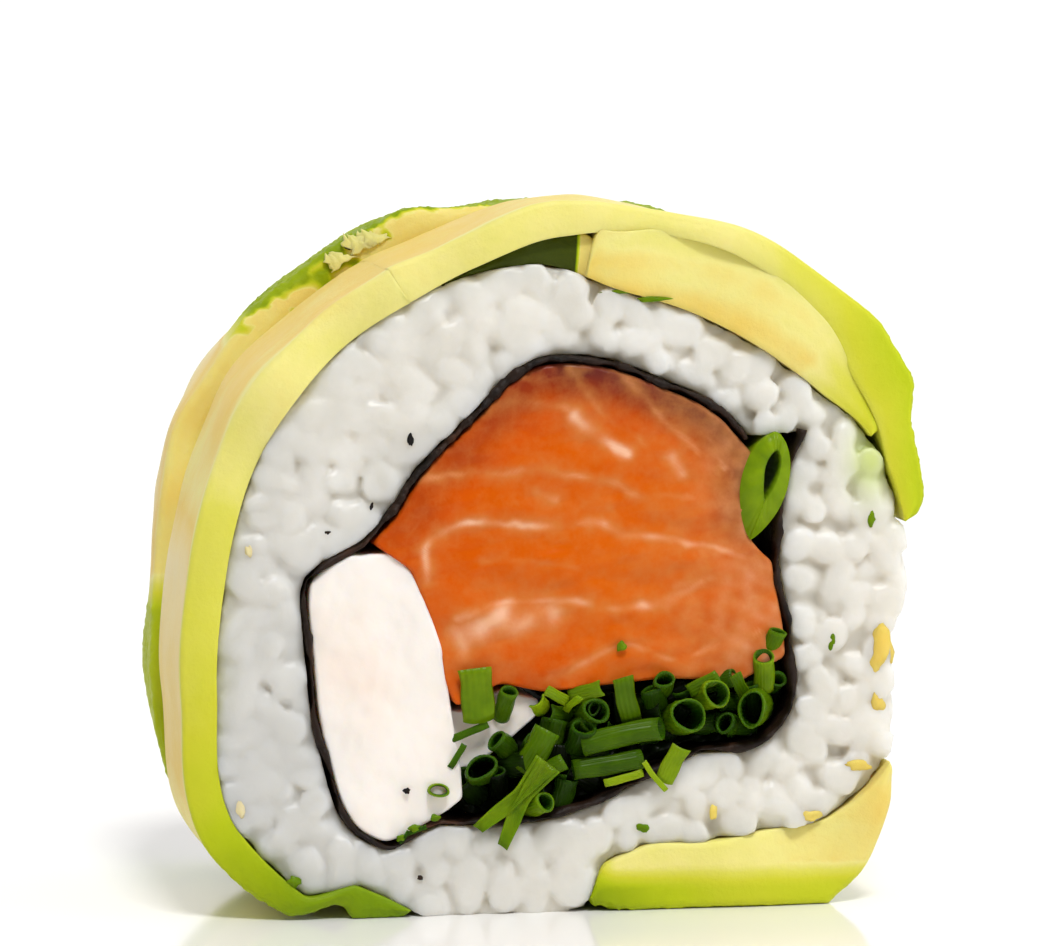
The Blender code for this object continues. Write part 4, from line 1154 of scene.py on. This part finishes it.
rings, angles, outward = slice_rings(
    (-84, -31), (-12.1, 12.0), lambda a, y: np.minimum(on_rice(a), floor_radius(a) - 0.3),
    lambda a, y: np.minimum(on_rice(a) + through(BASE_THICKNESS, a), floor_radius(a)),
    soft=0.7, wave=0.05, seed=70)
x, z = rings[..., 0], rings[..., 2]
low = 0.18 + 0.32 * rise(x, 4, 10)
ripe = 0.13 + 0.49 * rise(x, 0.8, 3.8) * (low + (1 - low) * rise(z, 1.4, 2.7))
ripe += 0.06 * rise(x, 12.5, 17.5) * rise(z, 0.8, 2.8)
lay("base_slice", [slice_shape(rings, angles, outward, ripe, 0.1, 71)], avocado, "avocado",
    "avocado_base")


def rear_crust(angles, y, keys):
    """Outer face of a rear slice: its own thickness or a rim over the lap, falling to the back."""
    height = np.maximum(through(keys, angles), lapped_height(angles, y) + REAR_RIM)
    fall = REAR_DROP * ((y - REAR_REACH[0]) / (REAR_REACH[1] - REAR_REACH[0])) ** 2
    return np.minimum(wrap_bed(angles) + height - fall, floor_radius(angles))


for side, keys, seed, slant in (("left", REAR_LEFT_THICKNESS, 73, 0.0),
                                ("right", REAR_RIGHT_THICKNESS, 76, 5.0)):
    rings, angles, outward = slice_rings(
        (keys[0][0], keys[-1][0]), REAR_REACH,
        lambda a, y: np.minimum(wrap_bed(a) + lapped_height(a, y), floor_radius(a) - 0.2),
        lambda a, y: rear_crust(a, y, keys), soft=0.7, wave=0.1, seed=seed, slant=slant)
    y = rings[..., 1]
    # Paler at the front face and from 146 to 187 degrees: partly cream flesh, partly painted highlight
    rim = rise(y - 0.1 * ripple(rings, 1.4, seed + 2), 2.72, 2.52)
    pale_and_highlight = (rim + (1 - rim) * rise(angles, 138, 146)) * rise(angles, 190, 184)
    ripe = 0.17 + 0.1 * rise(angles, 184, 190) + 0.12 * rise(y, 7, 12)
    ripe += pale_and_highlight * (0.51 + 0.14 * rise(y, 3, 6))
    lay(f"rear_{side}_slice", [slice_shape(rings, angles, outward, ripe, 0.07, seed + 1)],
        avocado, "avocado", f"avocado_rear_{side}")


# Crumbs
# What the knife has dragged over the cut: chips of chive, flecks of nori, and smears of avocado that
# stick to the rice. Each is a small uneven lump pressed on to the surface.

# Each row: x, z, how far in front of the cut, width, height and depth
CHIVE_CRUMBS = (
    (5.43, 5.14, 0.1, 0.8, 0.5, 0.3), (19.75, 23.9, 0.0, 0.8, 1.0, 0.4),
    (-16.1, 2.4, 0.1, 0.9, 0.7, 0.4), (4.1, 16.35, 0.2, 0.55, 0.7, 0.3),
    (-8.7, 5.5, 0.2, 0.7, 0.45, 0.3), (-9.6, 4.9, 0.15, 0.5, 0.4, 0.3), (-7.5, 6.1, 0.2, 0.6, 0.4, 0.3),
    (17.3, 16.4, 0.0, 0.6, 0.8, 0.3), (4.0, 38.1, 0.0, 2.0, 0.35, 0.4), (6.1, 37.6, 0.0, 1.9, 0.3, 0.4),
)
NORI_FLECKS = (
    (-8.9, 29.2, 0.0, 0.35, 0.8, 0.25), (-9.15, 7.8, 0.1, 0.4, 0.4, 0.15),
    (-8.35, 2.4, 0.0, 0.35, 0.3, 0.2), (-14.0, 23.6, 0.0, 0.3, 0.25, 0.2),
    (-11.3, 25.2, 0.0, 0.25, 0.4, 0.2),
)
AVOCADO_SMEARS = (
    (20.4, 15.6, -0.3, 1.6, 3.2, 0.8), (19.0, 8.6, 0.0, 1.5, 0.7, 0.5), (15.9, 5.6, 0.0, 1.4, 0.7, 0.5),
    (20.3, 12.6, -0.3, 1.0, 1.4, 0.6), (-19.4, 7.0, 0.0, 0.6, 1.4, 0.3),
    (-18.8, 22.6, 0.0, 0.4, 0.7, 0.3), (9.9, 6.0, 0.0, 0.5, 0.9, 0.3),
    (-19.2, 13.4, 0.0, 0.5, 1.0, 0.3),
)


def crumb(row, seed, **marks):
    """A lump with its middle on the cut: a sphere drawn out to its three sizes, its surface moved
    in and out by a fifth of its radius."""
    x, z, stand, width, height, depth = row
    up = np.radians(np.linspace(-80, 80, 9))[:, None]
    turn = np.radians(np.arange(0, 360, 24.0))[None]
    ball = xyz(np.cos(up) * np.cos(turn), np.cos(up) * np.sin(turn), np.sin(up))
    ball *= 1 + 0.2 * ripple(ball, 1.5, seed)[..., None]
    middle = np.array((x, -(HALF_LENGTH + 0.1 + stand), z))
    return skin(middle + ball * np.array((width, depth, height)) / 2, **marks)


lay("chive_crumbs", [crumb(row, seed, inside=0.0, tint=0.6, rib=0.0)
                     for seed, row in enumerate(CHIVE_CRUMBS, 101)], chive_green, "chives")
lay("nori_flecks", [crumb(row, seed) for seed, row in enumerate(NORI_FLECKS, 121)], nori, "nori")
lay("avocado_smears", [crumb(row, seed, ripe=0.9 if row[0] < 0 else 0.72)
                       for seed, row in enumerate(AVOCADO_SMEARS, 141)], avocado, "avocado")


# Table, light and camera
# The roll lies on a pale glazed surface that faintly mirrors it, in soft daylight: a bright sky all
# round, the sun behind thin cloud above the cut, and a window to the right.

def glazed_table():
    """Pale glazed ware: white under a clear, nearly smooth glaze."""
    material, tree, place = new_material("pale glaze")
    colour = ramp(tree, noise(tree, place, 3, 2), (0.3, "#f7f5f2"), (0.7, "#fbfaf8"))
    return finished(material, {
        "Base Color": colour, "Roughness": 0.1, "IOR": 1.5, "Specular IOR Level": 0.25})


TABLE_REACH = 3.0
corners = [(x * TABLE_REACH, y * TABLE_REACH, 0) for x, y in ((-1, -1), (1, -1), (1, 1), (-1, 1))]
table_mesh = bpy.data.meshes.new("table")
table_mesh.from_pydata(corners, [], [(0, 1, 2, 3)])
table_mesh.materials.append(glazed_table())
table = show("table", table_mesh)

# The sky's strength rises to the back and falls a little upwards
SKY_SLOPE = (0.0, 0.45, -0.15)
SKY_LEVEL = 0.65
SKY_LEAST = 0.1
sky = bpy.data.worlds.new("soft daylight")
sky.use_nodes = True
sky_tree = sky.node_tree
ahead = add(sky_tree, "ShaderNodeTexCoord").outputs["Generated"]
slope = add(sky_tree, "ShaderNodeVectorMath", {0: ahead, 1: SKY_SLOPE}, operation="DOT_PRODUCT")
level = worked(sky_tree, "ADD", slope.outputs["Value"], SKY_LEVEL)
background = sky_tree.nodes["Background"]
background.inputs["Color"].default_value = linear("#ffffff")
sky_tree.links.new(worked(sky_tree, "MAXIMUM", level, SKY_LEAST), background.inputs["Strength"])
bpy.context.scene.world = sky
bpy.context.scene.view_settings.view_transform = "Standard"


def add_light(name, kind, power, turn, place=(0, 0, 0)):
    """A light of the given kind and power at a place, turned by three angles."""
    light = bpy.data.lights.new(name, kind)
    light.energy = power
    lamp = show(name, light)
    lamp.rotation_euler = turn
    lamp.location = place
    return light


# The window is turned so that it shines at a point low on the cut face
WINDOW_PLACE = np.array((0.15, -0.12, 0.08))
WINDOW_AIM = np.array((0.0, -0.01, 0.02))
back = WINDOW_PLACE - WINDOW_AIM
lean = np.arctan2(np.hypot(back[0], back[1]), back[2])
turn = np.arctan2(back[0], -back[1])
window = add_light("window", "AREA", 0.09, (lean, 0, turn), WINDOW_PLACE)
window.shape = "SQUARE"
window.size = 0.12
sun = add_light("daylight", "SUN", 2.15, np.radians((32, 0, 4)))
sun.angle = np.radians(14)

CAMERA_DOWN = 4.5
CAMERA_LEFT = 10
camera_data = bpy.data.cameras.new("camera")
camera_data.lens = 181.49
camera_data.sensor_width = 36
camera_data.clip_start = 0.01
camera = show("camera", camera_data)
camera.location = (-0.05740, -0.32545, 0.05212)
camera.rotation_euler = np.radians((90 - CAMERA_DOWN, 0, -CAMERA_LEFT))
bpy.context.scene.camera = camera
